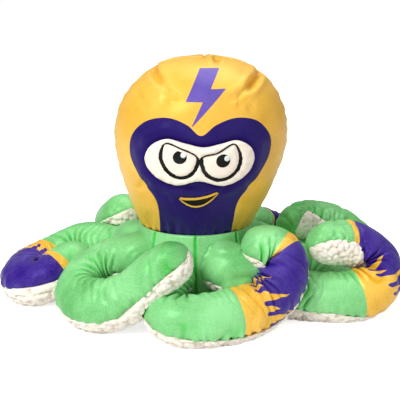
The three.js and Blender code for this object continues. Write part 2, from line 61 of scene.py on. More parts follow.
# All sizes are in millimetres; a mesh is scaled to metres when it is made.
METRES = 0.001

# Sizes shared with the solids
HEAD_WIDTH = 152.0
HEAD_DEPTH = 130.0
HEAD_HEIGHT = 152.0
HEAD_LEAN = 8.0
NECK_SEAM_HEIGHT = 77.0
NECK_WIDTH = 99.0
NECK_DEPTH = 85.0
WIDEST_SHARE = 0.546
CROWN_POWER = 2.1
CHEEK_POWER = 1.8
TRUNK_WIDTH = 104.0
TRUNK_DEPTH = 96.0
BASE_SHARE = 0.8
ARM_COUNT = 8
ARM_WIDTH = 44.0
ARM_HEIGHT_SHARE = 0.92
ARM_ROOT_HEIGHT = 50.0
ARM_SEAT_SHARE = 0.8
ARM_SWELL_SHARES = (0.84, 0.87, 0.93, 1.0, 1.04, 1.06, 1.05, 1.02, 0.98, 0.94)
ARM_SWING_DEGREES = 20.0
SOLE_DIP_DEGREES = 27.0
BEND_SLACK_SHARE = 0.7
FLOOR_DENT = 0.5
TIP_CROWDING = 1.15
ARM_STEPS = 22
EVEN_PASSES = 2
EVEN_SHARE = 0.5

# Sizes of the arms' cloth
CLOTH_GRID = 1.3
BAND_GRID = 1.0
FLEECE_GRID = 0.8
TUFT_SIZE = 4.6
TUFT_HEIGHT = 3.0
SOLE_PUFF = 0.8
SEAM_DIP = 1.5
SEAM_WIDTH_DEGREES = 7.0
SKIN_TUCK = 3.2
TOUCH_GAP = 0.35
TOUCH_LEAST_RADIUS = 1.0
TOUCH_LEAST_LEVEL = 0.05
FOLD_PITCH = 9.5
FOLD_DEPTH = 4.0
CRUMPLE_DEPTH = 1.4
TIP_RINGS = 22
FLAME_PITCH = 22.0
FLAME_LENGTH = 27.0
HEAD_INSET = 1.2
# Painted shade in the cloth's hollows, folds and seams: its saturation and value
HOLLOW_SHADE_SATURATION = 1.6
HOLLOW_SHADE_VALUE = 0.8
GLINT_SATURATION = 0.85
BEND_REACH = 30.0
SHOULDER_REACH = 42.0
SHOULDER_START = 46.0
SHOULDER_TOP = 73.0
SHOULDER_SQUARE = 2.3
SHOULDER_OVERLAP = 1.04
SHOULDER_WIDTH_REACH = 26.0

# Places along an arm, as shares of its length
BAND_SHARES = {
    1: (0.515, 0.60, 0.845, 0.865),
    2: (0.545, 0.61, 0.835, 0.855),
    4: (0.53, 0.61, 0.84, 0.86),
    7: (0.49, 0.545, 0.85, 0.875),
}

# How far each arm's seams turn about it past its bend and at its tip, in degrees
SEAM_ROLLS = (
    (-24.0, 34.0), (40.0, 20.0), (34.0, 34.0), (0.0, 0.0),
    (0.0, 0.0), (-10.0, -10.0), (-12.0, -12.0), (8.0, 8.0),
)

# The gaps between the flames' tongues, from tip to tip: ahead in flame lengths, around in pitches
FLAME_GAP_SHARES = (
    (
        (0.5, -0.16), (0.37, -0.165), (0.2, -0.125), (0.06, -0.145), (0.0, -0.06), (0.05, 0.035),
        (0.17, 0.045), (0.33, 0.06), (0.48, 0.15), (0.62, 0.26), (0.78, 0.34), (1.0, 0.62),
    ),
    (
        (1.0, 0.62), (0.83, 0.5), (0.66, 0.44), (0.5, 0.43), (0.36, 0.45), (0.22, 0.43), (0.09, 0.44),
        (0.03, 0.53), (0.09, 0.63), (0.2, 0.62), (0.29, 0.64), (0.38, 0.71), (0.5, 0.84),
    ),
)

# Sizes of the neck
HEM_TUCK = 3.0
NECK_BEND_TOP = 101.0

# Sizes of the face
PATCH_HEIGHT = 6.2
PATCH_RIM = 0.8
EYE_LINE_WIDTH = 2.8
STITCH_RAGGED_SHARE = 0.2
THREAD_HEIGHT = 0.9
PUPIL_DIAMETER = 10.8
SHINE_DIAMETER = 4.4
MOUTH_TRIM_WIDTH = 1.7
MOUTH_UPPER_SAG = 3.0
MOUTH_LOWER_SAG = 12.0

# The photograph's camera
CAMERA_PLACE = (0.004, -0.9132, 0.3597)
CAMERA_AIM = (0.004, 0.0, 0.0978)
CAMERA_LENS = 95.85
CAMERA_SENSOR = 36.0

# Shape of the arms' lines and sections
CURVE_STEPS = 24
TIP_ROLL_SHARES = (1.7, 0.4)
SMOOTHED_STATIONS = 5
TIP_GROWTH = 2.5
SOFT_LIMIT_SHARE = 0.75

# Folds, crumples and puckers of the arms' cloth
FOLD_FACING = (-0.45, 0.95)
FOLD_TIGHTNESS = 1.7
FOLD_CREST_SHARE = 0.45
FOLD_SHARPNESS = 1.5
CRUMPLE_SLANTS = (0.45, 0.2)
CRUMPLE_PITCHES = (11.0, 34.0)
CRUMPLE_PATCHES = (-0.2, 0.6)
CRUMPLE_SHARES = (0.3, 0.7, 0.3)
CRUMPLE_LEVEL = 0.72
PUCKER_PITCH = 6.8
PUCKER_DEPTH = 0.75
PUCKER_REACH = 3.4
PRINT_EDGE_DIP = 0.5
PRINT_EDGE_WIDTH = 1.2
SHOULDER_ROOM = 18.0
SWING_TRIALS = 4

# How dark the painted shade in the cloth's hollows is: a share, and the depths where it starts and is full
FOLD_SHADE = (0.8, 0.3, 3.4)
SEAM_SHADE = (0.6, 0.2, 1.0)
HEAD_SHADE = (0.55, 0.6, 3.6)
PATCH_SHADE = 0.8
PATCH_SHADE_REACH = 3.5

# Flames
FLAME_SWAY = 1.1
FLAME_SWAY_LENGTHS = (8.0, 14.0)
FLAME_STRETCH = 0.95
FLAME_OVERLAP = 2.0
FLAME_POINTS = 20

# Fleece
FLEECE_MARGIN = 0.12
FLEECE_START = -2.6
FLEECE_RIM = 1.3
FLEECE_RIM_POWER = 0.3
FLEECE_INSIDE = -4.5
FLEECE_INSIDE_COLUMNS = 6
PATCH_TUFT = 0.75

# Cloth of the head
HEM_REACH = 4.0
HEM_DEPTH = 3.0
FRONT_EDGE = 4.0
FACE_EDGE = (-6.0, 14.0)
HEAD_SEAM_DEPTH = 1.5
HEAD_SEAM_WIDTH = 1.6
HEAD_PUCKER_PITCH = 12.5
HEAD_PUCKER_DEPTH = 0.4
HEAD_PUCKER_REACH = 9.0
GATHER_COUNT = 30
GATHER_DEPTH = 0.7
GATHER_REACH_SHARE = 0.07
CROWN_DIP = 1.6
CROWN_DIP_REACH = 7.0
CROWN_DIP_STEP = 2.0
CROWN_DIP_DROP = 4.0
CROWN_DIP_STEEPNESS = 3.0
CREASE_BOW = 1.5
CREASE_FADE = (0.45, 1.0)
CREASE_SWELL_SHARES = (0.32, 2.6, 1.6)
PATCH_SWELL = 1.1
PATCH_SWELL_AWAY = 8.0
PATCH_SWELL_REACH = 4.0
PATCH_SWELL_SHARE = 0.8
PATCH_DIP = 0.7
PATCH_DIP_REACH = 2.5

# Padding and embroidery of the face
PATCH_ROUNDNESS = 7
PATCH_GATHER_COUNT = 30
PATCH_GATHER = 0.07
PATCH_GATHER_POWER = 4
PATCH_STITCH_DIP = 1.7
PATCH_STITCH_REACH = 2.6
PATCH_TUCK = -0.5
PATCH_RIM_SHARES = (1.0, 0.999, 0.997)
PATCH_RING_SPANS = ((0.992, 0.9, 8), (0.88, 0.0, 36))
PUPIL_ROOM_SHARE = 0.75
SHINE_LIFT_SHARE = 1.1
SHINE_RISE_SHARE = 0.6
RIBBON_COLUMNS = 11
RIBBON_TUCK = 0.35
RIBBON_THINNING = (1.12, 0.7)
RIBBON_UPPER = (-0.1, 0.8)
DISC_SIDES = 48
DISC_TUCK = 0.3
DISC_TRIALS = 40
DISC_LEAST_SHARE = 0.3
DISC_RIM_SHARES = (1.0, 0.98, 0.94)
DISC_RING_SPAN = (0.88, 0.0, 9)
MOUTH_LIFT = 0.6
MOUTH_FILL_LIFT = 1.0
MOUTH_CROWN = 0.5
MOUTH_ROWS = 9
MOUTH_COLUMNS = 60
MOUTH_MARGINS = (0.02, 0.06)
MOUTH_POINTS = 49
EYE_POINTS = 180
PANEL_POINTS = 160
PATCH_POINTS = 120

# Trunk and base
TRUNK_BOTTOM = 5.0
TRUNK_SWELL = (0.96, 0.1)
GORE_SEAM = (0.026, 0.09)
GORE_RIDGE = (0.01, 0.2, 0.1)
LIP_INSET = 1.0
LIP_HEIGHT = 1.6
LIP_RINGS = 9
BASE_SIDES = 200
BASE_RINGS = 44
BASE_SPAN_SHARES = (0.02, 0.97)
BASE_EDGE_SHARES = (1.0, 1.0, 0.9, 0.5, 0.02)
BASE_EDGE_HEIGHTS = (1.6, 4.5, 6.0, 6.0, 6.0)
BASE_TUFT_HEIGHT = 1.2

# Velour: noises as scale and detail, shades of the nap as saturation and value; the lighter and darker nap
# patches are partly the nap's own tone and partly painted highlights and painted shade
NAP_NOISE = (26.0, 3.0)
FIBRE_NOISE = (900.0, 2.0)
FIBRE_SHARE = 0.45
NAP_RANGE = (0.5, 0.95)
NAP_LIGHT_AND_HIGHLIGHT = (0.9, 1.3)
NAP_DARK_AND_SHADE = (1.14, 0.7)
HEAD_NAP = 0.45
GREEN_NAP = 0.9
BANDED_NAP = 0.8
PILE_BRUSHING = 0.16
PILE_LIFT = 0.0004
VELOUR_ROUGHNESS = 0.36
VELOUR_SHEEN = 0.24
CLOTH_GLOSS = 0.9
SHEEN_ROUGHNESS = 0.35
PRINT_SOFTNESS = 0.15

# Fleece and thread
WOOL_NOISE = (520.0, 4.0)
WOOL_SHARE = 0.35
WOOL_RANGE = (0.1, 0.95)
WOOL_BUMP = (0.5, 0.0006)
WOOL_ROUGHNESS = 0.95
WOOL_SHEEN = 0.25
THREAD_PITCH = 0.45
# Painted shade in the grooves between threads and painted highlight on their crests
THREAD_CREST_AND_GROOVE_SHADE = (0.85, 1.1)
THREAD_BUMP = (0.6, 0.0002)
THREAD_ROUGHNESS = 0.42
THREAD_GLOSS = 0.2

# The studio, in metres and watts: each lamp's name, place, size and power
LAMPS = (
    ("key", (-0.7, -0.95, 1.2), 0.75, 21.5),
    ("fill", (1.1, -0.8, 0.6), 1.2, 2.2),
    ("top", (0.15, 0.3, 1.4), 0.9, 9.0),
)
LAMP_AIM = (0.0, 0.0, 0.08)
FLOOR_REACH = 14.0
FLOOR_GLOW = 0.72
WORLD_LIGHT = 0.26

Array = np.ndarray
Pair = tuple[float, float]
Place = tuple[float, float, float]
Height = Callable[[Array], Array]
Thing = bpy.types.Object
Material = bpy.types.Material
Socket = bpy.types.NodeSocket
Feed = Socket | float | tuple[float, ...]


class Colour(Enum):
    """Colours of the toy, in sRGB."""

    YELLOW = (238, 181, 36)
    GREEN = (128, 206, 130)
    PURPLE = (39, 25, 99)
    BOLT = (100, 82, 168)
    ARM_PURPLE = (68, 48, 142)
    BAND_YELLOW = (240, 185, 42)
    CREAM = (250, 242, 230)
    # Painted shade between the fleece's tufts
    CREAM_SHADED = (226, 211, 192)
    PATCH = (250, 236, 220)
    # Painted shade between the patch's fibres
    PATCH_SHADED = (222, 204, 182)
    BLACK = (8, 6, 9)
    WHITE = (250, 250, 250)
    TRIM = (240, 190, 66)
    FLOOR = (250, 250, 250)

    def linear(self) -> tuple[float, float, float, float]:
        """The colour as linear RGBA, as the materials take it."""
        parts = [channel / 255 for channel in self.value]
        return (*[c / 12.92 if c <= 0.04045 else ((c + 0.055) / 1.055) ** 2.4 for c in parts], 1.0)


@dataclass(frozen=True)
class ArmRoute:
    """An arm's route, in shares of its width from its root, with its lean in degrees."""

    tip_share: float
    hinge_share: float
    lean_towards: float
    route_shares: tuple[tuple[float, float, float, float], ...]


ROUTES = (
    ArmRoute(0.72, 0.4, -90, (
        (-0.18, -0.42, 0.38, 0), (-0.14, -0.85, 0.06, 0), (0.12, -1.12, 0, 0), (0.62, -1.08, 0, 10),
        (1.3, -0.82, 0.03, 28), (1.88, -0.5, 0.22, 48), (2.15, -0.38, 0.6, 65), (2.2, -0.22, 0.98, 65),
        (1.95, -0.08, 1.14, 45), (1.35, -0.25, 1.1, 30),
    )),
    ArmRoute(0.7, 0.45, 130, (
        (0.37, -0.1, 0.55, 0), (0.96, 0.03, 0.2, 0), (1.55, 0.28, 0.02, 0), (2.3, 0.18, 0, 0),
        (3.05, 0.28, 0.05, -25), (3.32, 0.68, 0.42, -60), (3.05, 0.86, 0.78, -35), (2.7, 0.82, 0.95, 0),
        (2.2, 0.62, 0.99, 25), (1.82, 0.36, 0.97, 35),
    )),
    ArmRoute(0.7, 0.42, 0, (
        (0.5, 0.32, 0.58, 0), (1.07, 0.87, 0.22, 0), (1.8, 1.28, 0, 0), (2.3, 1.7, 0.02, 10),
        (2.52, 2.15, 0.2, 25), (2.25, 2.45, 0.48, 20), (1.75, 2.38, 0.7, 0), (1.28, 2.18, 0.82, -20),
        (1.0, 1.85, 0.84, -40), (1.05, 1.5, 0.78, -45),
    )),
    ArmRoute(0.75, 0.48, 0, (
        (0.5, 0.45, 0.4, 0), (1.05, 1.0, 0.03, 0), (1.3, 1.7, 0, 0), (1.2, 2.35, 0.02, 0),
        (0.7, 2.7, 0.1, 0), (0.22, 2.4, 0.38, 0), (0.18, 1.75, 0.64, 0),
    )),
    ArmRoute(0.75, 0.45, 0, (
        (0.05, 0.8, 0.35, 0), (0.2, 1.55, 0.02, 0), (0.18, 2.2, 0, 0), (-0.2, 2.7, 0.04, 0),
        (-0.66, 2.62, 0.37, 0), (-0.81, 2.12, 0.71, 0), (-0.7, 1.55, 0.91, 0),
    )),
    ArmRoute(0.8, 0.42, 0, (
        (-0.1, 0.85, 0.35, 0), (-0.3, 1.6, 0.03, 0), (-0.85, 2.0, 0.03, 0), (-1.35, 1.6, 0.38, 0),
        (-1.25, 1.0, 0.84, 0), (-0.95, 0.5, 1.16, 0),
    )),
    ArmRoute(0.85, 0.44, 90, (
        (-0.45, 0.42, 0.42, 0), (-0.94, 0.95, 0.42, 0), (-1.5, 1.18, 0.34, 0), (-2.0, 0.85, 0.08, 0),
        (-2.44, 0.35, 0, 0), (-2.52, -0.28, 0, 10), (-2.14, -0.57, 0.02, 15), (-1.7, -0.28, 0.24, 20),
        (-1.27, 0.27, 0.52, 20),
    )),
    ArmRoute(1.02, 0.48, 90, (
        (-0.6, 0.12, 0.6, 0), (-1.05, 0.0, 0.38, 0), (-1.22, -0.5, 0.06, 0), (-0.88, -0.95, 0.0, 0),
        (-0.3, -1.18, 0.2, 5), (0.15, -1.28, 0.62, 10), (0.6, -1.32, 1.04, 15), (0.95, -1.28, 1.32, 15),
    )),
)

# The face's outlines, as shares of the head's width across and of its height above the neck seam
PATCH_SHARES = (
    (-0.296, 0.468), (-0.27, 0.546), (-0.19, 0.592), (-0.08, 0.572), (0.02, 0.553), (0.11, 0.57),
    (0.2, 0.584), (0.275, 0.536), (0.292, 0.463), (0.25, 0.385), (0.14, 0.335), (0.0, 0.366),
    (-0.12, 0.339), (-0.24, 0.385),
)
LEFT_EYE_SHARES = (
    (-0.182, 0.572), (-0.1, 0.552), (-0.014, 0.506), (-0.018, 0.45), (-0.05, 0.407),
    (-0.105, 0.394), (-0.165, 0.43), (-0.2, 0.505),
)
RIGHT_EYE_SHARES = (
    (0.012, 0.506), (0.085, 0.528), (0.172, 0.57), (0.206, 0.498), (0.192, 0.43),
    (0.147, 0.389), (0.095, 0.382), (0.042, 0.41), (0.016, 0.453),
)
LEFT_PUPIL_SHARE = (-0.101, 0.508)
RIGHT_PUPIL_SHARE = (0.116, 0.489)
SHINE_STEP_SHARE = (0.018, 0.014)
MOUTH_LEFT_SHARE = (-0.108, 0.262)
MOUTH_RIGHT_SHARE = (0.12, 0.3)

# The printed face panel's right half, from under the chin up to the dip above the nose
PANEL_HALF_SHARES = (
    (0.205, -0.06), (0.212, 0.1), (0.235, 0.225), (0.32, 0.34), (0.39, 0.47), (0.385, 0.585),
    (0.31, 0.675), (0.19, 0.705), (0.08, 0.672),
)
PANEL_DIP_SHARE = (0.0, 0.615)
BOLT_SHARES = (
    (-0.025, 0.955), (0.085, 0.955), (0.04, 0.855), (0.125, 0.855), (-0.06, 0.65), (0.0, 0.79),
    (-0.095, 0.79),
)


@dataclass(frozen=True)
class Crease:
    """A crease in the head, which fades towards its end."""

    start: Pair
    end: Pair
    depth: float
    width: float

    def relief(self, flat: Array) -> Array:
        """How far it moves the cloth at places on the face: a groove between two low swells.

        Args:
            flat: the places, across and up.

        Returns:
            The move at each place, negative in the groove.
        """
        a, b = face_points((self.start, self.end))
        share = np.clip((flat - a) @ (b - a) / ((b - a) @ (b - a)), 0, 1)
        away = np.linalg.norm(flat - a - share[:, None] * (b - a), axis=1)
        away = np.abs(away - np.minimum(CREASE_BOW * np.sin(math.pi * share), away))
        high, far, wide = CREASE_SWELL_SHARES
        swell = high * bell(away - far * self.width, wide * self.width)
        return self.depth * (swell - bell(away, self.width)) * (1 - smoothstep(*CREASE_FADE, share))


# Creases in the head: from and to, in shares as above, with depth and half width in millimetres
CREASES = tuple(Crease(*row) for row in (
    ((-0.315, 0.95), (-0.2, 0.84), 3.4, 1.9),
    ((0.335, 0.915), (0.205, 0.815), 4.4, 2.0),
    ((0.075, 1.04), (0.07, 0.965), 3.2, 1.8),
    ((-0.2, 0.84), (-0.215, 0.76), 0.9, 1.8),
    ((-0.21, 0.85), (-0.12, 0.8), 0.9, 1.6),
    ((0.205, 0.815), (0.215, 0.74), 1.3, 2.0),
    ((0.215, 0.83), (0.13, 0.79), 1.0, 1.7),
    ((0.24, 0.79), (0.29, 0.72), 0.9, 1.8),
    ((-0.36, 0.8), (-0.29, 0.72), 0.8, 2.0),
    ((-0.06, 0.325), (0.08, 0.31), 1.4, 1.8),
    ((0.13, 0.29), (0.2, 0.33), 1.0, 1.6),
    ((-0.16, 0.24), (-0.24, 0.3), 0.9, 1.8),
    ((-0.33, 0.28), (-0.25, 0.38), 0.9, 2.2),
    ((0.33, 0.25), (0.27, 0.36), 1.0, 2.2),
    ((-0.13, 0.02), (-0.1, 0.14), 0.9, 2.0),
    ((0.12, 0.02), (0.15, 0.15), 0.9, 2.0),
    ((0.24, 0.03), (0.27, 0.18), 1.1, 2.2),
    ((-0.26, 0.03), (-0.28, 0.16), 1.1, 2.2),
))


def smoothstep(low: float, high: float, value: Array) -> Array:
    """An S-shaped rise from 0 at low to 1 at high."""
    share = np.clip((value - low) / (high - low), 0.0, 1.0)
    return share * share * (3 - 2 * share)


def bell(off: Array, width: float) -> Array:
    """A round hump: 1 where off is zero, about a third at the width."""
    return np.exp(-(off / width) ** 2)


def unit(vectors: Array) -> Array:
    """Vectors of length one."""
    return vectors / np.maximum(np.linalg.norm(vectors, axis=-1, keepdims=True), 1e-9)


def stacked(*parts: Array) -> Array:
    """Points from their coordinates, all spread to one shape."""
    return np.stack(np.broadcast_arrays(*parts), axis=-1)


def full_turn(sides: int) -> Array:
    """Angles all the way round, without the one that closes it."""
    return np.arange(sides) * 2 * math.pi / sides


def run_along(line: Array) -> Array:
    """How far along a line each of its points lies."""
    return np.concatenate([[0], np.cumsum(np.linalg.norm(np.diff(line, axis=0), axis=1))])


def hashed(cells: Array, seed: int) -> Array:
    """A repeatable value from 0 to 1 for each row of whole numbers.

    Args:
        cells: the rows.
        seed: the pattern's number.

    Returns:
        The values.
    """
    mixed = np.full(cells.shape[:-1], seed, dtype=np.uint64)
    for axis in range(cells.shape[-1]):
        mixed = (mixed ^ cells[..., axis].astype(np.int64).astype(np.uint64)) * np.uint64(0x9E3779B97F4A7C15)
        mixed ^= mixed >> np.uint64(29)
    return (mixed >> np.uint64(40)).astype(float) / float(1 << 24)


def noise(points: Array, cell: float, seed: int) -> Array:
    """Smooth noise from -1 to 1: values on a lattice of cells, blended between its corners.

    Args:
        points: the places.
        cell: the size of a cell.
        seed: the pattern's number.

    Returns:
        One value for each place.
    """
    place = points / cell
    base = np.floor(place).astype(np.int64)
    inside = place - base
    fade = inside * inside * (3 - 2 * inside)
    total = np.zeros(points.shape[:-1])
    for corner in np.ndindex(*(2,) * points.shape[-1]):
        step = np.array(corner)
        weight = np.prod(np.where(step == 1, fade, 1 - fade), axis=-1)
        total += weight * hashed(base + step, seed)
    return 2 * total - 1


@dataclass(frozen=True)
class Ripple:
    """Smooth noise of a height, a size in millimetres and a seed."""

    height: float
    size: float
    seed: int

    def at(self, points: Array, number: int = 0) -> Array:
        """Its value at points, different for each number."""
        return self.height * noise(points, self.size, self.seed + number)


# Uneven places of the cloth, and the seeds and shape of the tufts
HEAD_LUMPS = (Ripple(1.3, 38.0, 5), Ripple(0.45, 15.0, 6))
HEAD_PUCKER_DRIFT = Ripple(5.0, 26.0, 7)
GATHER_DRIFT = Ripple(3.0, 18.0, 9)
PATCH_SWELL_DRIFT = Ripple(0.9, 11.0, 12)
PATCH_GATHER_DRIFT = Ripple(2.0, 9.0, 3)
PATCH_TUFT_DRIFT = Ripple(0.15, 2.2, 9)
STITCH_ENDS = Ripple(1.0, 1.5, 71)
ARM_LUMPS = (Ripple(1.5, 22.0, 10), Ripple(0.3, 9.0, 20))
PUCKER_DRIFT = Ripple(2.5, 14.0, 30)
FOLD_DRIFT = Ripple(2.6, 19.0, 40)
CRUMPLE_RIDGES = Ripple(1.0, 1.0, 50)
CRUMPLE_AREAS = Ripple(1.0, 44.0, 60)
FLAME_DRIFT = Ripple(0.2, 16.0, 60)
SOLE_TUFT_SEED = 70
BASE_TUFT_SEED = 90
TUFT_RADII = (0.62, 0.22)
TUFT_JITTER = (0.15, 0.7)


def tufts(points: Array, seed: int) -> Array:
    """Round tufts: in each cell one jittered centre; the height falls as a half circle around it.

    Args:
        points: the places.
        seed: the pattern's number.

    Returns:
        The height at each place, as a share of a full tuft's.
    """
    axes = points.shape[-1]
    place = points / TUFT_SIZE
    base = np.floor(place).astype(np.int64)
    height = np.zeros(points.shape[:-1])
    for step in np.ndindex((3,) * axes):
        cell = base + np.array(step) - 1
        jitter = np.stack([hashed(cell, seed + axis) for axis in range(axes)], axis=-1)
        radius = TUFT_RADII[0] + TUFT_RADII[1] * hashed(cell, seed + axes)
        away = np.linalg.norm(place - cell - TUFT_JITTER[0] - TUFT_JITTER[1] * jitter, axis=-1)
        height = np.maximum(height, np.sqrt(np.clip(1 - (away / radius) ** 2, 0, 1)))
    return height


def cubic(start: Array, end: Array, leave: Array, arrive: Array, t: Array) -> Array:
    """A cubic from start to end that leaves and arrives with the given slopes."""
    return (
        start + leave * t
        + (3 * (end - start) - 2 * leave - arrive) * t ** 2
        + (2 * (start - end) + leave + arrive) * t ** 3
    )


def spline_between(before: Array, start: Array, end: Array, after: Array, share: Array) -> Array:
    """A centripetal Catmull-Rom piece: cubic from start to end, its knots spaced by root distance.

    Args:
        before: the point before the piece.
        start: the point that it starts at.
        end: the point that it ends at.
        after: the point after the piece.
        share: how far along the piece each place is, from 0 to 1.

    Returns:
        The places.
    """
    gaps = [
        math.sqrt(max(float(np.linalg.norm(b - a)), 1e-6))
        for a, b in ((before, start), (start, end), (end, after))
    ]
    leave = (start - before) / gaps[0] - (end - before) / (gaps[0] + gaps[1]) + (end - start) / gaps[1]
    arrive = (end - start) / gaps[1] - (after - start) / (gaps[1] + gaps[2]) + (after - end) / gaps[2]
    return cubic(start, end, leave * gaps[1], arrive * gaps[1], share[:, None])


def spline(points: Array, place: Array, closed: bool = False) -> Array:
    """Points of a centripetal Catmull-Rom curve.

    Args:
        points: the points that it passes through.
        place: where to read it, from 0 to 1.
        closed: whether the curve closes on itself.

    Returns:
        One point for each place.
    """
    count = len(points)
    spans = count if closed else count - 1
    where = np.clip(place, 0, 1) * spans
    span = np.minimum(where.astype(int), spans - 1)
    result = np.zeros((len(place), points.shape[1]))
    for index in range(spans):
        chosen = span == index
        if not chosen.any():
            continue
        start, end = points[index], points[(index + 1) % count]
        before = points[index - 1] if closed or index else 2 * start - end
        last = not closed and index + 2 >= count
        after = 2 * end - start if last else points[(index + 2) % count]
        result[chosen] = spline_between(before, start, end, after, where[chosen] - index)
    return result


def outline_distance(points: Array, outline: Array) -> Array:
    """Signed distance to a closed outline, negative inside.

    Args:
        points: the points, across and up.
        outline: the outline's corners in order.

    Returns:
        Each point's distance.
    """
    nearest = np.full(len(points), np.inf)
    crossings = np.zeros(len(points), dtype=int)
    for a, b in zip(outline, np.roll(outline, -1, axis=0)):
        edge = b - a
        reach = points - a
        share = np.clip(reach @ edge / max(float(edge @ edge), 1e-12), 0, 1)
        nearest = np.minimum(nearest, np.linalg.norm(reach - share[:, None] * edge, axis=1))
        spans = (a[1] > points[:, 1]) != (b[1] > points[:, 1])
        rise = edge[1] if abs(edge[1]) > 1e-12 else 1e-12
        crossings += spans & (points[:, 0] < a[0] + edge[0] * (points[:, 1] - a[1]) / rise)
    return np.where(crossings % 2 == 1, -nearest, nearest)


@dataclass
class Surface:
    """A grid of points with values on them, which becomes a mesh."""

    points: Array
    wrapped: bool
    values: dict[str, Array] = field(default_factory=dict)
    normals: Array | None = None

    def with_normals(self) -> "Surface":
        """The surface with its normals worked out over the whole grid, before it is split.

        Returns:
            The surface itself.
        """
        along = np.gradient(self.points, axis=0)
        if self.wrapped:
            around = np.roll(self.points, -1, axis=1) - np.roll(self.points, 1, axis=1)
        else:
            around = np.gradient(self.points, axis=1)
        self.normals = unit(np.cross(around, along))
        return self

    def rows(self, first: int, last: int) -> "Surface":
        """The part from one row to another, both kept.

        Args:
            first: the first row.
            last: the last row.

        Returns:
            The part, with its values and normals.
        """
        chosen = slice(first, last + 1)
        kept = {name: value[chosen] for name, value in self.values.items()}
        return Surface(self.points[chosen], self.wrapped, kept, self.normals[chosen])

    def columns(self, first: int, last: int) -> "Surface":
        """The part from one column to another, both kept, open at its sides.

        Args:
            first: the first column.
            last: the last column, past the end where it runs round.

        Returns:
            The part, with its values and normals.
        """
        chosen = np.arange(first, last + 1) % self.points.shape[1]
        kept = {name: value[:, chosen] for name, value in self.values.items()}
        return Surface(self.points[:, chosen], False, kept, self.normals[:, chosen])

    def mesh(self, name: str, material: Material) -> Thing:
        """A smooth mesh object of the grid, in metres, with its values as attributes.

        Args:
            name: the object's name.
            material: its material.

        Returns:
            The object.
        """
        rows, columns = self.points.shape[:2]
        row = np.arange(rows - 1)[:, None] * columns
        column = np.arange(columns if self.wrapped else columns - 1)[None, :]
        beside = (column + 1) % columns
        faces = stacked(row + column, row + beside, row + columns + beside, row + columns + column)
        data = bpy.data.meshes.new(name)
        data.from_pydata((self.points.reshape(-1, 3) * METRES).tolist(), [], faces.reshape(-1, 4).tolist())
        data.polygons.foreach_set("use_smooth", np.ones(len(data.polygons), dtype=bool))
        for key, value in self.values.items():
            attribute = data.attributes.new(key, "FLOAT", "POINT")
            attribute.data.foreach_set("value", value.reshape(-1).astype(np.float32))
        data.validate()
        if self.normals is not None:
            data.normals_split_custom_set_from_vertices(self.normals.reshape(-1, 3).tolist())
        data.materials.append(material)
        piece = bpy.data.objects.new(name, data)
        bpy.context.scene.collection.objects.link(piece)
        return piece


def dress(piece: Thing, body: str, nodes: tuple[str, ...]) -> None:
    """Lets a piece ride on a body in place of its solids.

    Args:
        piece: the piece.
        body: the body that carries it.
        nodes: the solids that it replaces.
    """
    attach(piece, body)
    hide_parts(*nodes)


class HeadShape:
    """The stuffed head: an egg of ellipses that leans to one side."""

    deepest_fall = 1.4
    least_bow = 0.02
    normal_step = 0.5

    def section(self, height: Array) -> tuple[Array, Array]:
        """Half the width and half the depth at a height above the floor.

        Args:
            height: the heights.

        Returns:
            Half the widths, and half the depths.
        """
        up = (height - NECK_SEAM_HEIGHT) / HEAD_HEIGHT
        rise = np.clip((up - WIDEST_SHARE) / (1 - WIDEST_SHARE), 0, 1)
        swell = np.maximum(1 - rise ** CROWN_POWER, 0) ** (1 / CROWN_POWER)
        fall = np.clip((WIDEST_SHARE - up) / WIDEST_SHARE, 0, self.deepest_fall) ** CHEEK_POWER
        wide, deep = (
            np.where(up > WIDEST_SHARE, head / 2 * swell, head / 2 * (1 - fall) + neck / 2 * fall)
            for head, neck in ((HEAD_WIDTH, NECK_WIDTH), (HEAD_DEPTH, NECK_DEPTH))
        )
        return wide, deep

    def leaned(self, points: Array) -> Array:
        """Points moved sideways in proportion to their height above the neck seam.

        Args:
            points: the points.

        Returns:
            The moved points.
        """
        moved = points.copy()
        moved[..., 0] += HEAD_LEAN * np.maximum(0, (points[..., 2] - NECK_SEAM_HEIGHT) / HEAD_HEIGHT)
        return moved

    def front(self, flat: Array) -> Array:
        """Points of the face from their places across and up, before the lean.

        Args:
            flat: the places.

        Returns:
            The points.
        """
        wide, deep = self.section(flat[..., 1])
        bow = np.sqrt(np.clip(1 - (flat[..., 0] / np.maximum(wide, 1e-6)) ** 2, self.least_bow, 1))
        return stacked(flat[..., 0], -deep * bow, flat[..., 1])

    def on_face(self, flat: Array, height: Array) -> Array:
        """Points at a height off the face, along its normal.

        Args:
            flat: their places on the face, across and up.
            height: the height of each.

        Returns:
            The points, with the lean.
        """
        here = self.front(flat)
        across = self.front(flat + np.array([self.normal_step, 0.0])) - here
        upwards = self.front(flat + np.array([0.0, self.normal_step])) - here
        normal = unit(np.cross(across, upwards))
        return self.leaned(here + normal * np.asarray(height)[..., None])


def face_points(shares: tuple[Pair, ...]) -> Array:
    """Places on the face in millimetres, across and up."""
    return np.array(shares) * np.array([HEAD_WIDTH, HEAD_HEIGHT]) + np.array([0.0, NECK_SEAM_HEIGHT])


def face_outline(shares: tuple[Pair, ...], count: int) -> Array:
    """A smooth closed outline on the face, in so many points."""
    return spline(face_points(shares), np.linspace(0, 1, count + 1)[:-1], closed=True)


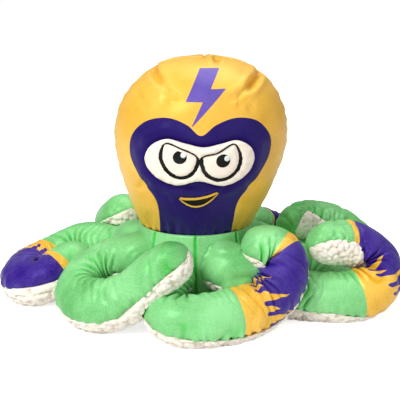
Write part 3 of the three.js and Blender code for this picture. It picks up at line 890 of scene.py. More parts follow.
class ArmShape:
    """One arm's stations and sections."""

    def __init__(self, number: int) -> None:
        """Works out the arm's line as the solids have it.

        Args:
            number: from 1, anticlockwise from the front left.
        """
        self.number = number
        self.route = ROUTES[number - 1]
        self.banded = number in BAND_SHARES
        self.pitch = BAND_GRID if self.banded else CLOTH_GRID
        self.tip_run = ARM_WIDTH / 2 * self.route.tip_share
        azimuth = -math.pi + (number + 0.5) * 2 * math.pi / ARM_COUNT
        root = np.array([
            TRUNK_WIDTH / 2 * math.cos(azimuth), TRUNK_DEPTH / 2 * math.sin(azimuth), ARM_ROOT_HEIGHT,
        ])
        seat = root * np.array([ARM_SEAT_SHARE, ARM_SEAT_SHARE, 1.0])
        lying = ARM_WIDTH / 2 * ARM_HEIGHT_SHARE - FLOOR_DENT
        table = np.array(self.route.route_shares)
        places = root * np.array([1.0, 1.0, 0.0]) + table[:, :3] * ARM_WIDTH + np.array([0.0, 0.0, lying])
        points = np.vstack([seat, root, places])
        leans = np.concatenate([[0.0, 0.0], table[:, 3]])
        fine = np.linspace(0, 1, CURVE_STEPS * len(points) + 1)
        run = run_along(spline(points, fine))
        shares = 1 - (1 - np.arange(ARM_STEPS + 1) / ARM_STEPS) ** TIP_CROWDING
        place = np.interp(shares * run[-1], run, fine)
        line = spline(points, place)
        for _ in range(EVEN_PASSES):
            middle = (line[:-2] + line[2:]) / 2
            line[1:-1] += EVEN_SHARE * (middle - line[1:-1])
        self.length = float(run[-1])
        self.line = line
        self.leans = np.interp(place * (len(points) - 1), np.arange(len(points)), leans)
        self._stations_at(np.arange(ARM_STEPS + 1, dtype=float))
        hinge = round(self.route.hinge_share * ARM_STEPS)
        self.hinge_run = float(self.run[hinge])
        self.hinge_centre = self.centre[hinge]
        self.hinge_heading = self.heading[hinge]
        self.pivot = self.centre[hinge] + self.right[hinge] * self.radius[hinge]
        self._stations_at(self._fine_steps())
        past = smoothstep(self.hinge_run - BEND_REACH, self.length - ARM_WIDTH, self.run)
        tip_roll = (self.length - share * ARM_WIDTH for share in TIP_ROLL_SHARES)
        ending = smoothstep(*tip_roll, self.run)
        past_bend, at_tip = (math.radians(degrees) for degrees in SEAM_ROLLS[number - 1])
        self.roll = (past_bend * past * (1 - ending) + at_tip * ending)[:, None]

    def row_at(self, run: float) -> int:
        """The first station at or past a length along the arm."""
        return int(np.searchsorted(self.run, run))

    def _fine_steps(self) -> Array:
        """Steps along the arm about a grid's pitch apart, closer together round the tip.

        Returns:
            The steps, as places along the line.
        """
        straight = self.length - self.tip_run
        body = np.linspace(0, straight, int(straight / self.pitch))
        angles = np.linspace(0, math.pi / 2, TIP_RINGS + 1)[1:]
        tip = straight + self.tip_run * np.sin(angles)
        share = np.clip(np.concatenate([body, tip]) / self.length, 0, 1)
        return ARM_STEPS * (1 - (1 - share) ** (1 / TIP_CROWDING))

    def _stations_at(self, steps: Array) -> None:
        """Reads the arm's centre, frame, radius and bend at steps along its line.

        Args:
            steps: the places along the line, from 0 to its number of steps.
        """
        uniform = np.clip(steps, 0, ARM_STEPS)
        index = np.minimum(uniform.astype(int), ARM_STEPS - 1)
        padded = np.vstack([2 * self.line[0] - self.line[1], self.line, 2 * self.line[-1] - self.line[-2]])
        before, start, end, after = (padded[index + shift] for shift in range(4))
        self.centre = cubic(start, end, (end - before) / 2, (after - start) / 2, (uniform - index)[:, None])
        share = 1 - (1 - uniform / ARM_STEPS) ** TIP_CROWDING
        self.run = run_along(self.centre)
        spaced = np.maximum(self.run, np.arange(len(self.run)) * 1e-6)
        self.heading = unit(np.gradient(self.centre, spaced, axis=0))
        lean = np.radians(np.interp(uniform, np.arange(ARM_STEPS + 1), self.leans))
        towards = math.radians(self.route.lean_towards)
        side = np.array([math.cos(towards), math.sin(towards), 0.0])
        up = np.cos(lean)[:, None] * np.array([0.0, 0.0, 1.0]) + np.sin(lean)[:, None] * side
        self.up = unit(up - np.sum(up * self.heading, axis=1, keepdims=True) * self.heading)
        self.right = np.cross(self.heading, self.up)
        bend = np.gradient(self.heading, spaced, axis=0)
        kernel = np.ones(SMOOTHED_STATIONS) / SMOOTHED_STATIONS
        for axis in range(3):
            wide = np.pad(bend[:, axis], SMOOTHED_STATIONS // 2, mode="edge")
            bend[:, axis] = np.convolve(wide, kernel, mode="valid")
        self.inwards = unit(bend)[:, None, :]
        self.tightness = np.linalg.norm(bend, axis=1)[:, None]
        swells = np.array([*ARM_SWELL_SHARES, self.route.tip_share])
        swell = np.interp(share * (len(swells) - 1), np.arange(len(swells)), swells)
        past = np.clip(self.tip_run - (1 - share) * self.length, 0, None) / self.tip_run
        self.radius = ARM_WIDTH / 2 * swell * np.sqrt(np.clip(1 - past * past, 0, 1))
        self.reach = np.hypot(self.centre[:, 0], self.centre[:, 1])

    def _off_centre(self, tall: Array, wide: Array) -> Array:
        """Steps off the centre line, upwards and to the right."""
        return self.up[:, None, :] * tall[..., None] + self.right[:, None, :] * wide[..., None]

    def section(self, angles: Array, grow: Array) -> Array:
        """The arm's surface.

        Near the trunk the section rises to the neck seam, widens and grows square, so that
        neighbouring arms meet in creases there. On the inner side of a bend a point stays short
        of the bend's centre.

        Args:
            angles: each point's angle off the arm's upper side.
            grow: how far each point is moved outwards.

        Returns:
            The points.
        """
        cosine, sine = np.cos(angles), np.sin(angles)
        radius = self.radius[:, None]
        reach = self.reach[:, None]
        shoulder = 1 - smoothstep(SHOULDER_START, SHOULDER_START + SHOULDER_REACH, reach)
        square = 1 + (SHOULDER_SQUARE / 2 - 1) * shoulder
        cosine = np.sign(cosine) * np.abs(cosine) ** (1 / square)
        sine = np.sign(sine) * np.abs(sine) ** (1 / square)
        upper = radius * ARM_HEIGHT_SHARE
        tall = np.maximum(upper, SHOULDER_TOP - self.centre[:, 2:3])
        height = np.where(cosine > 0, upper + (tall - upper) * shoulder, upper)
        near = np.minimum(reach, SHOULDER_START + SHOULDER_WIDTH_REACH / 2)
        sector = near * math.tan(math.pi / ARM_COUNT) * SHOULDER_OVERLAP
        wider = 1 - smoothstep(SHOULDER_START, SHOULDER_START + SHOULDER_WIDTH_REACH, reach)
        half = radius + (np.maximum(sector, radius) - radius) * wider
        taper = (self.radius / np.maximum(self.radius.max(), 1e-6))[:, None]
        swollen = grow * np.minimum(1, TIP_GROWTH * taper)
        offset = self._off_centre((height + swollen) * cosine, (half + swollen) * sine)
        limit = BEND_SLACK_SHARE / np.maximum(self.tightness, 1e-5)
        inner = np.sum(offset * self.inwards, axis=-1)
        soft = SOFT_LIMIT_SHARE * limit
        eased = soft + (limit - soft) * np.tanh(np.maximum(inner - soft, 0) / (limit - soft))
        offset += self.inwards * (np.where(inner > soft, eased, inner) - inner)[..., None]
        return self.centre[:, None, :] + offset

    def folds(self, angles: Array) -> Array:
        """Height of the folds: deep on the inner side of bends, a light crumple elsewhere.

        Args:
            angles: each point's angle off the arm's upper side.

        Returns:
            Each point's height, negative in a fold.
        """
        run = self.run[:, None]
        direction = self._off_centre(np.cos(angles), np.sin(angles))
        facing = smoothstep(*FOLD_FACING, np.sum(direction * self.inwards, axis=-1))
        strength = np.clip(self.tightness * self.radius[:, None] * FOLD_TIGHTNESS, 0, 1) * facing
        around = ARM_WIDTH / 2 * angles
        spot = stacked(run, around)
        wave = np.abs(np.sin(math.pi * run / FOLD_PITCH + FOLD_DRIFT.at(spot, self.number)))
        bent = FOLD_DEPTH * strength * (FOLD_CREST_SHARE * wave - (1 - wave) ** FOLD_SHARPNESS)
        slanted = stacked(
            (run + CRUMPLE_SLANTS[0] * around) / CRUMPLE_PITCHES[0],
            (around - CRUMPLE_SLANTS[1] * run) / CRUMPLE_PITCHES[1],
        )
        ridge = 1 - np.abs(CRUMPLE_RIDGES.at(slanted, self.number))
        patchy = smoothstep(*CRUMPLE_PATCHES, CRUMPLE_AREAS.at(spot, self.number))
        near_trunk = 1 - smoothstep(SHOULDER_START, SHOULDER_START + 2 * SHOULDER_REACH, self.reach[:, None])
        everywhere, in_patches, at_trunk = CRUMPLE_SHARES
        share = everywhere + in_patches * patchy + at_trunk * near_trunk
        sharp = np.clip(ridge - CRUMPLE_LEVEL, 0, 1) / (1 - CRUMPLE_LEVEL)
        return bent - CRUMPLE_DEPTH * share * sharp


def push_out(points: Array, other: ArmShape, gap: float, rows: Array) -> Array:
    """Moves points out of another arm's section, to a gap off it.

    Args:
        points: the points.
        other: the arm that stays as it is.
        gap: how far off its surface the points end.
        rows: which of the other arm's stations count.

    Returns:
        The moved points.
    """
    centre, up, right, radius = other.centre[rows], other.up[rows], other.right[rows], other.radius[rows]
    low = centre.min(axis=0) - ARM_WIDTH
    high = centre.max(axis=0) + ARM_WIDTH
    near = np.flatnonzero(np.all((points > low) & (points < high), axis=1))
    if not len(near):
        return points
    chosen = points[near]
    away = ((chosen[:, None, :] - centre[None, :, :]) ** 2).sum(axis=2)
    closest = away.argmin(axis=1)
    offset = chosen - centre[closest]
    tall = np.sum(offset * up[closest], axis=1)
    wide = np.sum(offset * right[closest], axis=1)
    size = np.maximum(radius[closest], 1e-3)
    level = np.hypot(tall / (size * ARM_HEIGHT_SHARE + gap), wide / (size + gap))
    inside = (level < 1) & (radius[closest] > TOUCH_LEAST_RADIUS)
    factor = np.where(inside, 1 / np.maximum(level, TOUCH_LEAST_LEVEL), 1) - 1
    shift = up[closest] * (tall * factor)[:, None] + right[closest] * (wide * factor)[:, None]
    moved = points.copy()
    moved[near] += shift
    return moved


def turned(points: Array, pivot: Array, degrees: float) -> Array:
    """Points turned about an upright axis through the pivot.

    Args:
        points: the points.
        pivot: a point on the axis.
        degrees: how far they turn, anticlockwise from above.

    Returns:
        The turned points.
    """
    angle = math.radians(degrees)
    cosine, sine = math.cos(angle), math.sin(angle)
    moved = points.copy()
    x, y = points[:, 0] - pivot[0], points[:, 1] - pivot[1]
    moved[:, 0] = pivot[0] + cosine * x - sine * y
    moved[:, 1] = pivot[1] + sine * x + cosine * y
    return moved


def above_floor(points: Array) -> Array:
    """Points eased up to the floor where they would sink into it.

    Args:
        points: the points.

    Returns:
        The moved points.
    """
    ease = 0.3
    moved = points.copy()
    moved[..., 2] = ease * np.logaddexp(0, points[..., 2] / ease)
    return moved


class Graph:
    """A tree of shader nodes, with short ways to add and join them."""

    def __init__(self, tree: bpy.types.NodeTree) -> None:
        """Keeps the tree that the nodes go into."""
        self.tree = tree

    def feed(self, node: bpy.types.Node, feeds: dict[str | int, Feed]) -> None:
        """Joins a node's inputs to the sockets given for them, or sets them to the values."""
        for key, feed in feeds.items():
            if isinstance(feed, Socket):
                self.tree.links.new(feed, node.inputs[key])
            else:
                node.inputs[key].default_value = feed

    def add(
        self, kind: str, feeds: dict[str | int, Feed], gives: str | int = 0, **settings: object,
    ) -> Socket:
        """Adds a node.

        Args:
            kind: the shader node's type.
            feeds: a socket or a value for each of its inputs that is not left alone.
            gives: which of its outputs is wanted.
            settings: the node's own properties.

        Returns:
            The output.
        """
        node = self.tree.nodes.new(f"ShaderNode{kind}")
        for name, value in settings.items():
            setattr(node, name, value)
        self.feed(node, feeds)
        return node.outputs[gives]

    def fused(self, first: Feed, factor: Feed, third: Feed) -> Socket:
        """A value times a factor, plus another value."""
        return self.add("Math", {0: first, 1: factor, 2: third}, operation="MULTIPLY_ADD")

    def mix(self, share: Feed, first: Feed, second: Feed) -> Socket:
        """One colour fading into another."""
        feeds = {"Factor": share, "A": first, "B": second}
        return self.add("Mix", feeds, "Result", data_type="RGBA")

    def mapped(self, value: Feed, span: Pair, onto: Pair = (0.0, 1.0)) -> Socket:
        """A value moved from one span onto another."""
        names = ("From Min", "From Max", "To Min", "To Max")
        return self.add("MapRange", {"Value": value} | dict(zip(names, (*span, *onto))))

    def toned(self, colour: Feed, tone: Pair, share: Feed = 1.0) -> Socket:
        """A colour with its saturation and value changed."""
        feeds = {"Color": colour, "Saturation": tone[0], "Value": tone[1], "Fac": share}
        return self.add("HueSaturation", feeds)

    def noise(self, texture: Pair) -> Socket:
        """A noise of a scale and detail, on the object's own coordinates."""
        place = self.add("TexCoord", {}, "Object")
        return self.add("TexNoise", {"Vector": place, "Scale": texture[0], "Detail": texture[1]}, "Fac")

    def bump(self, height: Feed, strength: Feed, distance: float) -> Socket:
        """A normal lifted by a height."""
        return self.add("Bump", {"Height": height, "Strength": strength, "Distance": distance})

    def value(self, name: str) -> Socket:
        """A value kept on the mesh."""
        return self.add("Attribute", {}, "Fac", attribute_name=name)

    def use(self, group: bpy.types.NodeTree, feeds: dict[str | int, Feed]) -> dict[str, Socket]:
        """A use of a shader group, with all that it gives.

        Args:
            group: the group.
            feeds: what its inputs are given.

        Returns:
            Its outputs by name.
        """
        node = self.tree.nodes.new("ShaderNodeGroup")
        node.node_tree = group
        self.feed(node, feeds)
        return dict(node.outputs.items())


class Group(Graph):
    """A shader group with named inputs, which gives a colour and, where asked, a normal."""

    def __init__(self, name: str, lifted: bool, starts: dict[str, float | tuple[float, ...]]) -> None:
        """Makes the empty group.

        Args:
            name: the group's name.
            lifted: whether it gives a normal.
            starts: the inputs' names and the values that they start from.
        """
        super().__init__(bpy.data.node_groups.new(name, "ShaderNodeTree"))
        sockets = self.tree.interface
        for title, start in starts.items():
            kind = "NodeSocketFloat" if isinstance(start, float) else "NodeSocketColor"
            sockets.new_socket(title, in_out="INPUT", socket_type=kind).default_value = start
        sockets.new_socket("Colour", in_out="OUTPUT", socket_type="NodeSocketColor")
        if lifted:
            sockets.new_socket("Normal", in_out="OUTPUT", socket_type="NodeSocketVector")
        self.given = self.tree.nodes.new("NodeGroupInput").outputs

    def done(self, **results: Socket) -> bpy.types.NodeTree:
        """The finished group, which gives these results."""
        self.feed(self.tree.nodes.new("NodeGroupOutput"), results)
        return self.tree


def new_finish(
    name: str, roughness: float, gloss: float, sheen: float = 0.0,
) -> tuple[Material, Graph]:
    """A new material with its main shader's roughness, gloss and sheen, and its tree.

    Args:
        name: the material's name.
        roughness: from 0 for smooth to 1 for rough.
        gloss: the level of its highlights.
        sheen: the weight of its sheen.

    Returns:
        The material, and the tree of its nodes.
    """
    material = bpy.data.materials.new(name)
    material.use_nodes = True
    graph = Graph(material.node_tree)
    graph.feed(graph.tree.nodes["Principled BSDF"], {
        "Roughness": roughness, "Specular IOR Level": gloss,
        "Sheen Weight": sheen, "Sheen Roughness": SHEEN_ROUGHNESS,
    })
    return material, graph


class Finishes:
    """Node-based materials, built from shared shader node groups."""

    black = (0.0, 0.0, 0.0, 1.0)
    white = (1.0, 1.0, 1.0, 1.0)
    grey = (0.5, 0.5, 0.5, 1.0)

    def __init__(self) -> None:
        """Builds the groups that the materials share."""
        self.pile = self._pile_group()
        self.edge = self._edge_group()
        self.fleece = self._fleece_group()
        self.stitches = self._stitch_group()

    def _pile_group(self) -> bpy.types.NodeTree:
        """Velour: brushed patches of lighter and darker nap, partly the nap's own tone and partly painted
        highlights and painted shade, painted shade in its hollows, and a fine pile that lifts the surface.

        Returns:
            The group's tree.
        """
        group = Group("pile", True, {"Colour": self.white, "Nap": 1.0, "Hollow Shade": 0.0})
        colour = group.given["Colour"]
        height = group.fused(group.noise(FIBRE_NOISE), FIBRE_SHARE, group.noise(NAP_NOISE))
        nap = group.fused(group.mapped(height, NAP_RANGE, (-0.5, 0.5)), group.given["Nap"], 0.5)
        # Lighter and darker nap patches: partly the velour's own uneven tone, partly painted highlights and
        # painted shade
        brushed = group.mix(nap, group.toned(colour, NAP_DARK_AND_SHADE), group.toned(colour, NAP_LIGHT_AND_HIGHLIGHT))
        # Painted shade: darker, more saturated colour in the cloth's hollows, folds and seams
        hollow_shaded = group.toned(brushed, (HOLLOW_SHADE_SATURATION, HOLLOW_SHADE_VALUE), group.given["Hollow Shade"])
        return group.done(Colour=hollow_shaded, Normal=group.bump(height, PILE_BRUSHING, PILE_LIFT))

    def _edge_group(self) -> bpy.types.NodeTree:
        """A print's edge: one colour below a value of zero and another above it.

        Returns:
            The group's tree.
        """
        group = Group("print_edge", False, {"Distance": 0.0, "Below": self.black, "Above": self.white})
        step = group.mapped(group.given["Distance"], (-PRINT_SOFTNESS, PRINT_SOFTNESS))
        return group.done(Colour=group.mix(step, group.given["Below"], group.given["Above"]))

    def _fleece_group(self) -> bpy.types.NodeTree:
        """Fleece: pale on its tufts and darker between them, the darker colour a painted shade, with a fine
        woolly lift.

        Returns:
            The group's tree.
        """
        group = Group("fleece", True, {"Tuft": 1.0, "Top": self.white, "Shade Between Tufts": self.grey})
        wool = group.noise(WOOL_NOISE)
        lift = group.mapped(group.fused(wool, WOOL_SHARE, group.given["Tuft"]), WOOL_RANGE)
        # Painted shade between the tufts, pale where they stand high
        colour = group.mix(lift, group.given["Shade Between Tufts"], group.given["Top"])
        return group.done(Colour=colour, Normal=group.bump(wool, *WOOL_BUMP))

    def _stitch_group(self) -> bpy.types.NodeTree:
        """Satin stitch: close parallel threads across the line that they follow, each painted lighter on its
        crest and darker in the groove beside it, as painted highlight and painted shade.

        Returns:
            The group's tree.
        """
        group = Group("satin_stitch", True, {"Along": 0.0, "Colour": self.black})
        per_thread = 2 * math.pi / THREAD_PITCH
        turn = group.add("Math", {0: group.given["Along"], 1: per_thread}, operation="MULTIPLY")
        wave = group.add("Math", {0: turn}, operation="SINE")
        # Painted highlight on each thread's crest and painted shade in its groove
        shade = group.mapped(wave, (-1.0, 1.0), THREAD_CREST_AND_GROOVE_SHADE)
        colour = group.add("HueSaturation", {"Color": group.given["Colour"], "Value": shade})
        return group.done(Colour=colour, Normal=group.bump(wave, *THREAD_BUMP))

    @staticmethod
    def _coat(graph: Graph, coat: dict[str, Socket]) -> None:
        """Gives a material's main shader the colour and the normal of a group."""
        shader = graph.tree.nodes["Principled BSDF"]
        graph.feed(shader, {"Base Color": coat["Colour"], "Normal": coat["Normal"]})

    def velour(
        self, name: str, ground: Colour, nap: float, prints: tuple[tuple[str, Colour], ...] = (),
    ) -> Material:
        """Velour with prints laid over its ground colour, each shown where its value is below zero, and
        painted shade in its hollows.

        Args:
            name: the material's name.
            ground: the cloth's own colour.
            nap: how strongly its brushed patches, partly painted highlights and shade, show, up to 1.
            prints: each print's value on the mesh, and its ink.

        Returns:
            The material.
        """
        material, graph = new_finish(name, VELOUR_ROUGHNESS, CLOTH_GLOSS, VELOUR_SHEEN)
        colour = ground.linear()
        for key, ink in prints:
            feeds = {"Distance": graph.value(key), "Below": ink.linear(), "Above": colour}
            colour = graph.use(self.edge, feeds)["Colour"]
        pile = graph.use(self.pile, {"Colour": colour, "Nap": nap, "Hollow Shade": graph.value("hollow_shade")})
        self._coat(graph, pile)
        glint = graph.add("HueSaturation", {"Color": pile["Colour"], "Saturation": GLINT_SATURATION})
        graph.feed(graph.tree.nodes["Principled BSDF"], {"Specular Tint": glint, "Sheen Tint": glint})
        return material

    def wool(
        self, name: str, top: Colour = Colour.CREAM, deep: Colour = Colour.CREAM_SHADED,
    ) -> Material:
        """Fleece, in one colour on its tufts and a painted shade between them.

        Args:
            name: the material's name.
            top: the colour on the tufts.
            deep: the painted shade between them.

        Returns:
            The material.
        """
        material, graph = new_finish(name, WOOL_ROUGHNESS, CLOTH_GLOSS, WOOL_SHEEN)
        feeds = {"Top": top.linear(), "Shade Between Tufts": deep.linear(), "Tuft": graph.value("tuft")}
        self._coat(graph, graph.use(self.fleece, feeds))
        return material

    def thread(self, name: str, colour: Colour) -> Material:
        """Embroidery thread in satin stitch.

        Args:
            name: the material's name.
            colour: the thread's colour.

        Returns:
            The material.
        """
        material, graph = new_finish(name, THREAD_ROUGHNESS, THREAD_GLOSS)
        feeds = {"Colour": colour.linear(), "Along": graph.value("along")}
        self._coat(graph, graph.use(self.stitches, feeds))
        return material


@dataclass
class Head:
    """The velour head with its print and its embroidered face."""

    finishes: Finishes
    shape: HeadShape = field(default_factory=HeadShape)
    sides: int = 360
    levels: int = 150

    def build(self) -> None:
        """Makes the head's three panels and the face."""
        self._panels()
        patch = Patch(self.shape)
        cream = self.finishes.wool("cream_patch", Colour.PATCH, Colour.PATCH_SHADED)
        pad = patch.surface().mesh("eye_patch_pad", cream)
        dress(pad, "head", ("eye_patch",))
        self._eyes(patch)
        self._mouth()

    def _panels(self) -> None:
        """The front panel and the two back panels, from one grid of the whole head."""
        low, top = NECK_SEAM_HEIGHT - HEM_TUCK, NECK_SEAM_HEIGHT + HEAD_HEIGHT
        heights = low + (top - low) * np.sin(np.linspace(0, math.pi / 2, self.levels))
        angles = np.pi + full_turn(self.sides)
        wide, deep = self.shape.section(heights)
        points = stacked(wide[:, None] * np.cos(angles), deep[:, None] * np.sin(angles), heights[:, None])
        normals = Surface(points, True).with_normals().normals
        normals[-1] = (0, 0, 1)
        flat = points[..., [0, 2]].reshape(-1, 2)
        depth = self._relief(points.reshape(-1, 3)).reshape(points.shape[:2])
        tucked = np.clip(1 - (heights - low) / HEM_REACH, 0, 1)[:, None]
        points = points + normals * (depth - HEM_DEPTH * tucked ** 2)[..., None]
        points[-1] = points[-1].mean(axis=0)
        front = points[..., 1].reshape(-1) < FRONT_EDGE
        # Painted shade in a ring round the eye patch and where the cloth sinks into seams, creases and the
        # crown dip
        shade = PATCH_SHADE * bell(self._beside_patch(flat), PATCH_SHADE_REACH)
        panel, bolt, shade = (
            np.where(front, value, behind).reshape(depth.shape)
            for value, behind in (
                (outline_distance(flat, self._panel_outline()), HEAD_WIDTH),
                (outline_distance(flat, face_points(BOLT_SHARES)), HEAD_WIDTH),
                (shade, 0.0),
            )
        )
        share, *span = HEAD_SHADE
        hollow_shade = np.clip(share * smoothstep(*span, -(depth + HEAD_INSET)) + shade, 0, 1)
        values = {"panel": panel, "bolt": bolt, "hollow_shade": hollow_shade}
        whole = Surface(self.shape.leaned(points), True, values).with_normals()
        whole.normals[-1] = (0, 0, 1)
        prints = (("panel", Colour.PURPLE), ("bolt", Colour.BOLT))
        yellow = self.finishes.velour("yellow_velour", Colour.YELLOW, HEAD_NAP, prints)
        split = int(np.searchsorted(heights, NECK_BEND_TOP))
        neck = whole.rows(0, split).mesh("head_neck_cloth", yellow)
        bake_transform(neck)
        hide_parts("head_filling")
        whole = whole.rows(split, self.levels - 1)
        half, quarter = self.sides // 2, self.sides // 4
        panels = (
            ("front", 0, half),
            ("back_right", half, half + quarter),
            ("back_left", half + quarter, self.sides),
        )
        for side, first, last in panels:
            piece = whole.columns(first, last).mesh(f"head_{side}_cloth", yellow)
            dress(piece, "head", (f"head_{side}_panel",))

    @staticmethod
    def _panel_outline() -> Array:
        """The printed face panel: a mirrored smooth outline with a dip above the nose.

        Returns:
            The outline's points, across and up.
        """
        left = [(-across, up) for across, up in reversed(PANEL_HALF_SHARES)]
        points = face_points((*PANEL_HALF_SHARES, PANEL_DIP_SHARE, *left))
        return spline(points, np.linspace(0, 1, PANEL_POINTS))

    def _relief(self, points: Array) -> Array:
        """How far the cloth stands off the egg: seams, puckers beside them, creases and soft lumps.

        Args:
            points: the points of the head's cloth.

        Returns:
            Each point's height, negative where it is sunk.
        """
        across, deep, height = points.T
        flat = points[:, [0, 2]]
        depth = sum(lumps.at(points) for lumps in HEAD_LUMPS) - HEAD_INSET
        for number, seam in enumerate((np.abs(deep), np.where(deep > 0, np.abs(across), HEAD_WIDTH))):
            drift = HEAD_PUCKER_DRIFT.at(points, number)
            pucker = np.cos(2 * math.pi * height / HEAD_PUCKER_PITCH + drift)
            depth -= HEAD_SEAM_DEPTH * bell(seam, HEAD_SEAM_WIDTH)
            depth += HEAD_PUCKER_DEPTH * pucker * bell(seam, HEAD_PUCKER_REACH)
        gathers = np.cos(GATHER_COUNT * np.arctan2(deep, across) + GATHER_DRIFT.at(points))
        depth += GATHER_DEPTH * gathers * bell((height - NECK_SEAM_HEIGHT) / HEAD_HEIGHT, GATHER_REACH_SHARE)
        facing = 1 - smoothstep(*FACE_EDGE, deep)
        for crease in CREASES:
            depth += facing * crease.relief(flat)
        below = np.maximum(0, NECK_SEAM_HEIGHT + HEAD_HEIGHT - CROWN_DIP_DROP - height)
        crown = np.hypot(across + CROWN_DIP_STEP, deep) + CROWN_DIP_STEEPNESS * below
        depth -= CROWN_DIP * bell(crown, CROWN_DIP_REACH)
        beside = self._beside_patch(flat)
        uneven = PATCH_SWELL_SHARE + PATCH_SWELL_DRIFT.at(points)
        swell = uneven * bell(beside - PATCH_SWELL_AWAY, PATCH_SWELL_REACH)
        depth += facing * (PATCH_SWELL * swell - PATCH_DIP * bell(beside, PATCH_DIP_REACH))
        return depth

    @staticmethod
    def _beside_patch(flat: Array) -> Array:
        """How far places on the face lie outside the eye patch, 0 beneath it."""
        return np.maximum(outline_distance(flat, face_outline(PATCH_SHARES, PATCH_POINTS)), 0)

    def _eyes(self, patch: "Patch") -> None:
        """Both eyes: the outline, the pupil and its highlight.

        Args:
            patch: the patch that they are sewn on.
        """
        black = self.finishes.thread("black_thread", Colour.BLACK)
        white = self.finishes.thread("white_thread", Colour.WHITE)
        eyes = (
            ("left", LEFT_EYE_SHARES, LEFT_PUPIL_SHARE),
            ("right", RIGHT_EYE_SHARES, RIGHT_PUPIL_SHARE),
        )
        for side, shares, pupil_share in eyes:
            outline = face_outline(shares, EYE_POINTS)
            line = ribbon(self.shape, outline, EYE_LINE_WIDTH, patch.height, thinning=1.0)
            dress(line.mesh(f"eye_line_{side}", black), "head", (f"eye_outline_{side}",))
            centre = face_points((pupil_share,))[0]
            dome = Dome(centre, PUPIL_DIAMETER / 2, THREAD_HEIGHT, outline, EYE_LINE_WIDTH * PUPIL_ROOM_SHARE)
            pupil = dome.surface(self.shape, patch.height).mesh(f"pupil_disc_{side}", black)
            dress(pupil, "head", (f"pupil_{side}",))
            centre = centre + np.array(SHINE_STEP_SHARE) * np.array([HEAD_WIDTH, HEAD_HEIGHT])
            dome = Dome(centre, SHINE_DIAMETER / 2, THREAD_HEIGHT * SHINE_RISE_SHARE)
            shine = dome.surface(self.shape, patch.pupil_top).mesh(f"shine_{side}", white)
            dress(shine, "head", (f"highlight_{side}",))

    def _mouth(self) -> None:
        """The mouth: a black crescent with a raised yellow trim."""
        outline = mouth_outline(MOUTH_TRIM_WIDTH / 2)
        trim = ribbon(self.shape, outline, MOUTH_TRIM_WIDTH, mouth_lift)
        trim = trim.mesh("mouth_line", self.finishes.thread("trim_thread", Colour.TRIM))
        dress(trim, "head", ("mouth_trim",))
        share = np.linspace(MOUTH_MARGINS[0], 1 - MOUTH_MARGINS[0], MOUTH_COLUMNS)
        down = MOUTH_MARGINS[1] + (1 - 2 * MOUTH_MARGINS[1]) * np.linspace(1, 0, MOUTH_ROWS)[:, None]
        sag = MOUTH_UPPER_SAG + (MOUTH_LOWER_SAG - MOUTH_UPPER_SAG) * down
        left, right = face_points((MOUTH_LEFT_SHARE, MOUTH_RIGHT_SHARE))
        across, up = (left + share[:, None] * (right - left)).T
        flat = stacked(across, up - sag * 4 * share * (1 - share))
        crown = MOUTH_CROWN * np.sin(np.linspace(0, math.pi, MOUTH_ROWS))[:, None]
        points = self.shape.on_face(flat, MOUTH_FILL_LIFT + crown + np.zeros(MOUTH_COLUMNS))
        fill = Surface(points, False, {"along": flat[..., 0]}).with_normals()
        fill = fill.mesh("mouth_satin", self.finishes.thread("mouth_thread", Colour.BLACK))
        dress(fill, "head", ("mouth_fill",))


def mouth_lift(flat: Array) -> Array:
    """The height that the mouth's trim lies on."""
    return np.full(flat.shape[:-1], MOUTH_LIFT)


def mouth_outline(inset: float) -> Array:
    """The crescent's closed outline, drawn in by an inset.

    Args:
        inset: how far it is drawn in.

    Returns:
        Its points in order.
    """
    left, right = face_points((MOUTH_LEFT_SHARE, MOUTH_RIGHT_SHARE))
    thickness = MOUTH_LOWER_SAG - MOUTH_UPPER_SAG
    start = (1 - math.sqrt(1 - 2 * inset / thickness)) / 2
    share = np.linspace(start, 1 - start, MOUTH_POINTS)
    lower = left + share[:, None] * (right - left)
    upper = lower[::-1].copy()
    lower[:, 1] += inset - MOUTH_LOWER_SAG * 4 * share * (1 - share)
    upper[:, 1] -= inset + MOUTH_UPPER_SAG * (4 * share * (1 - share))[::-1]
    return np.vstack([lower, upper[1:-1]])


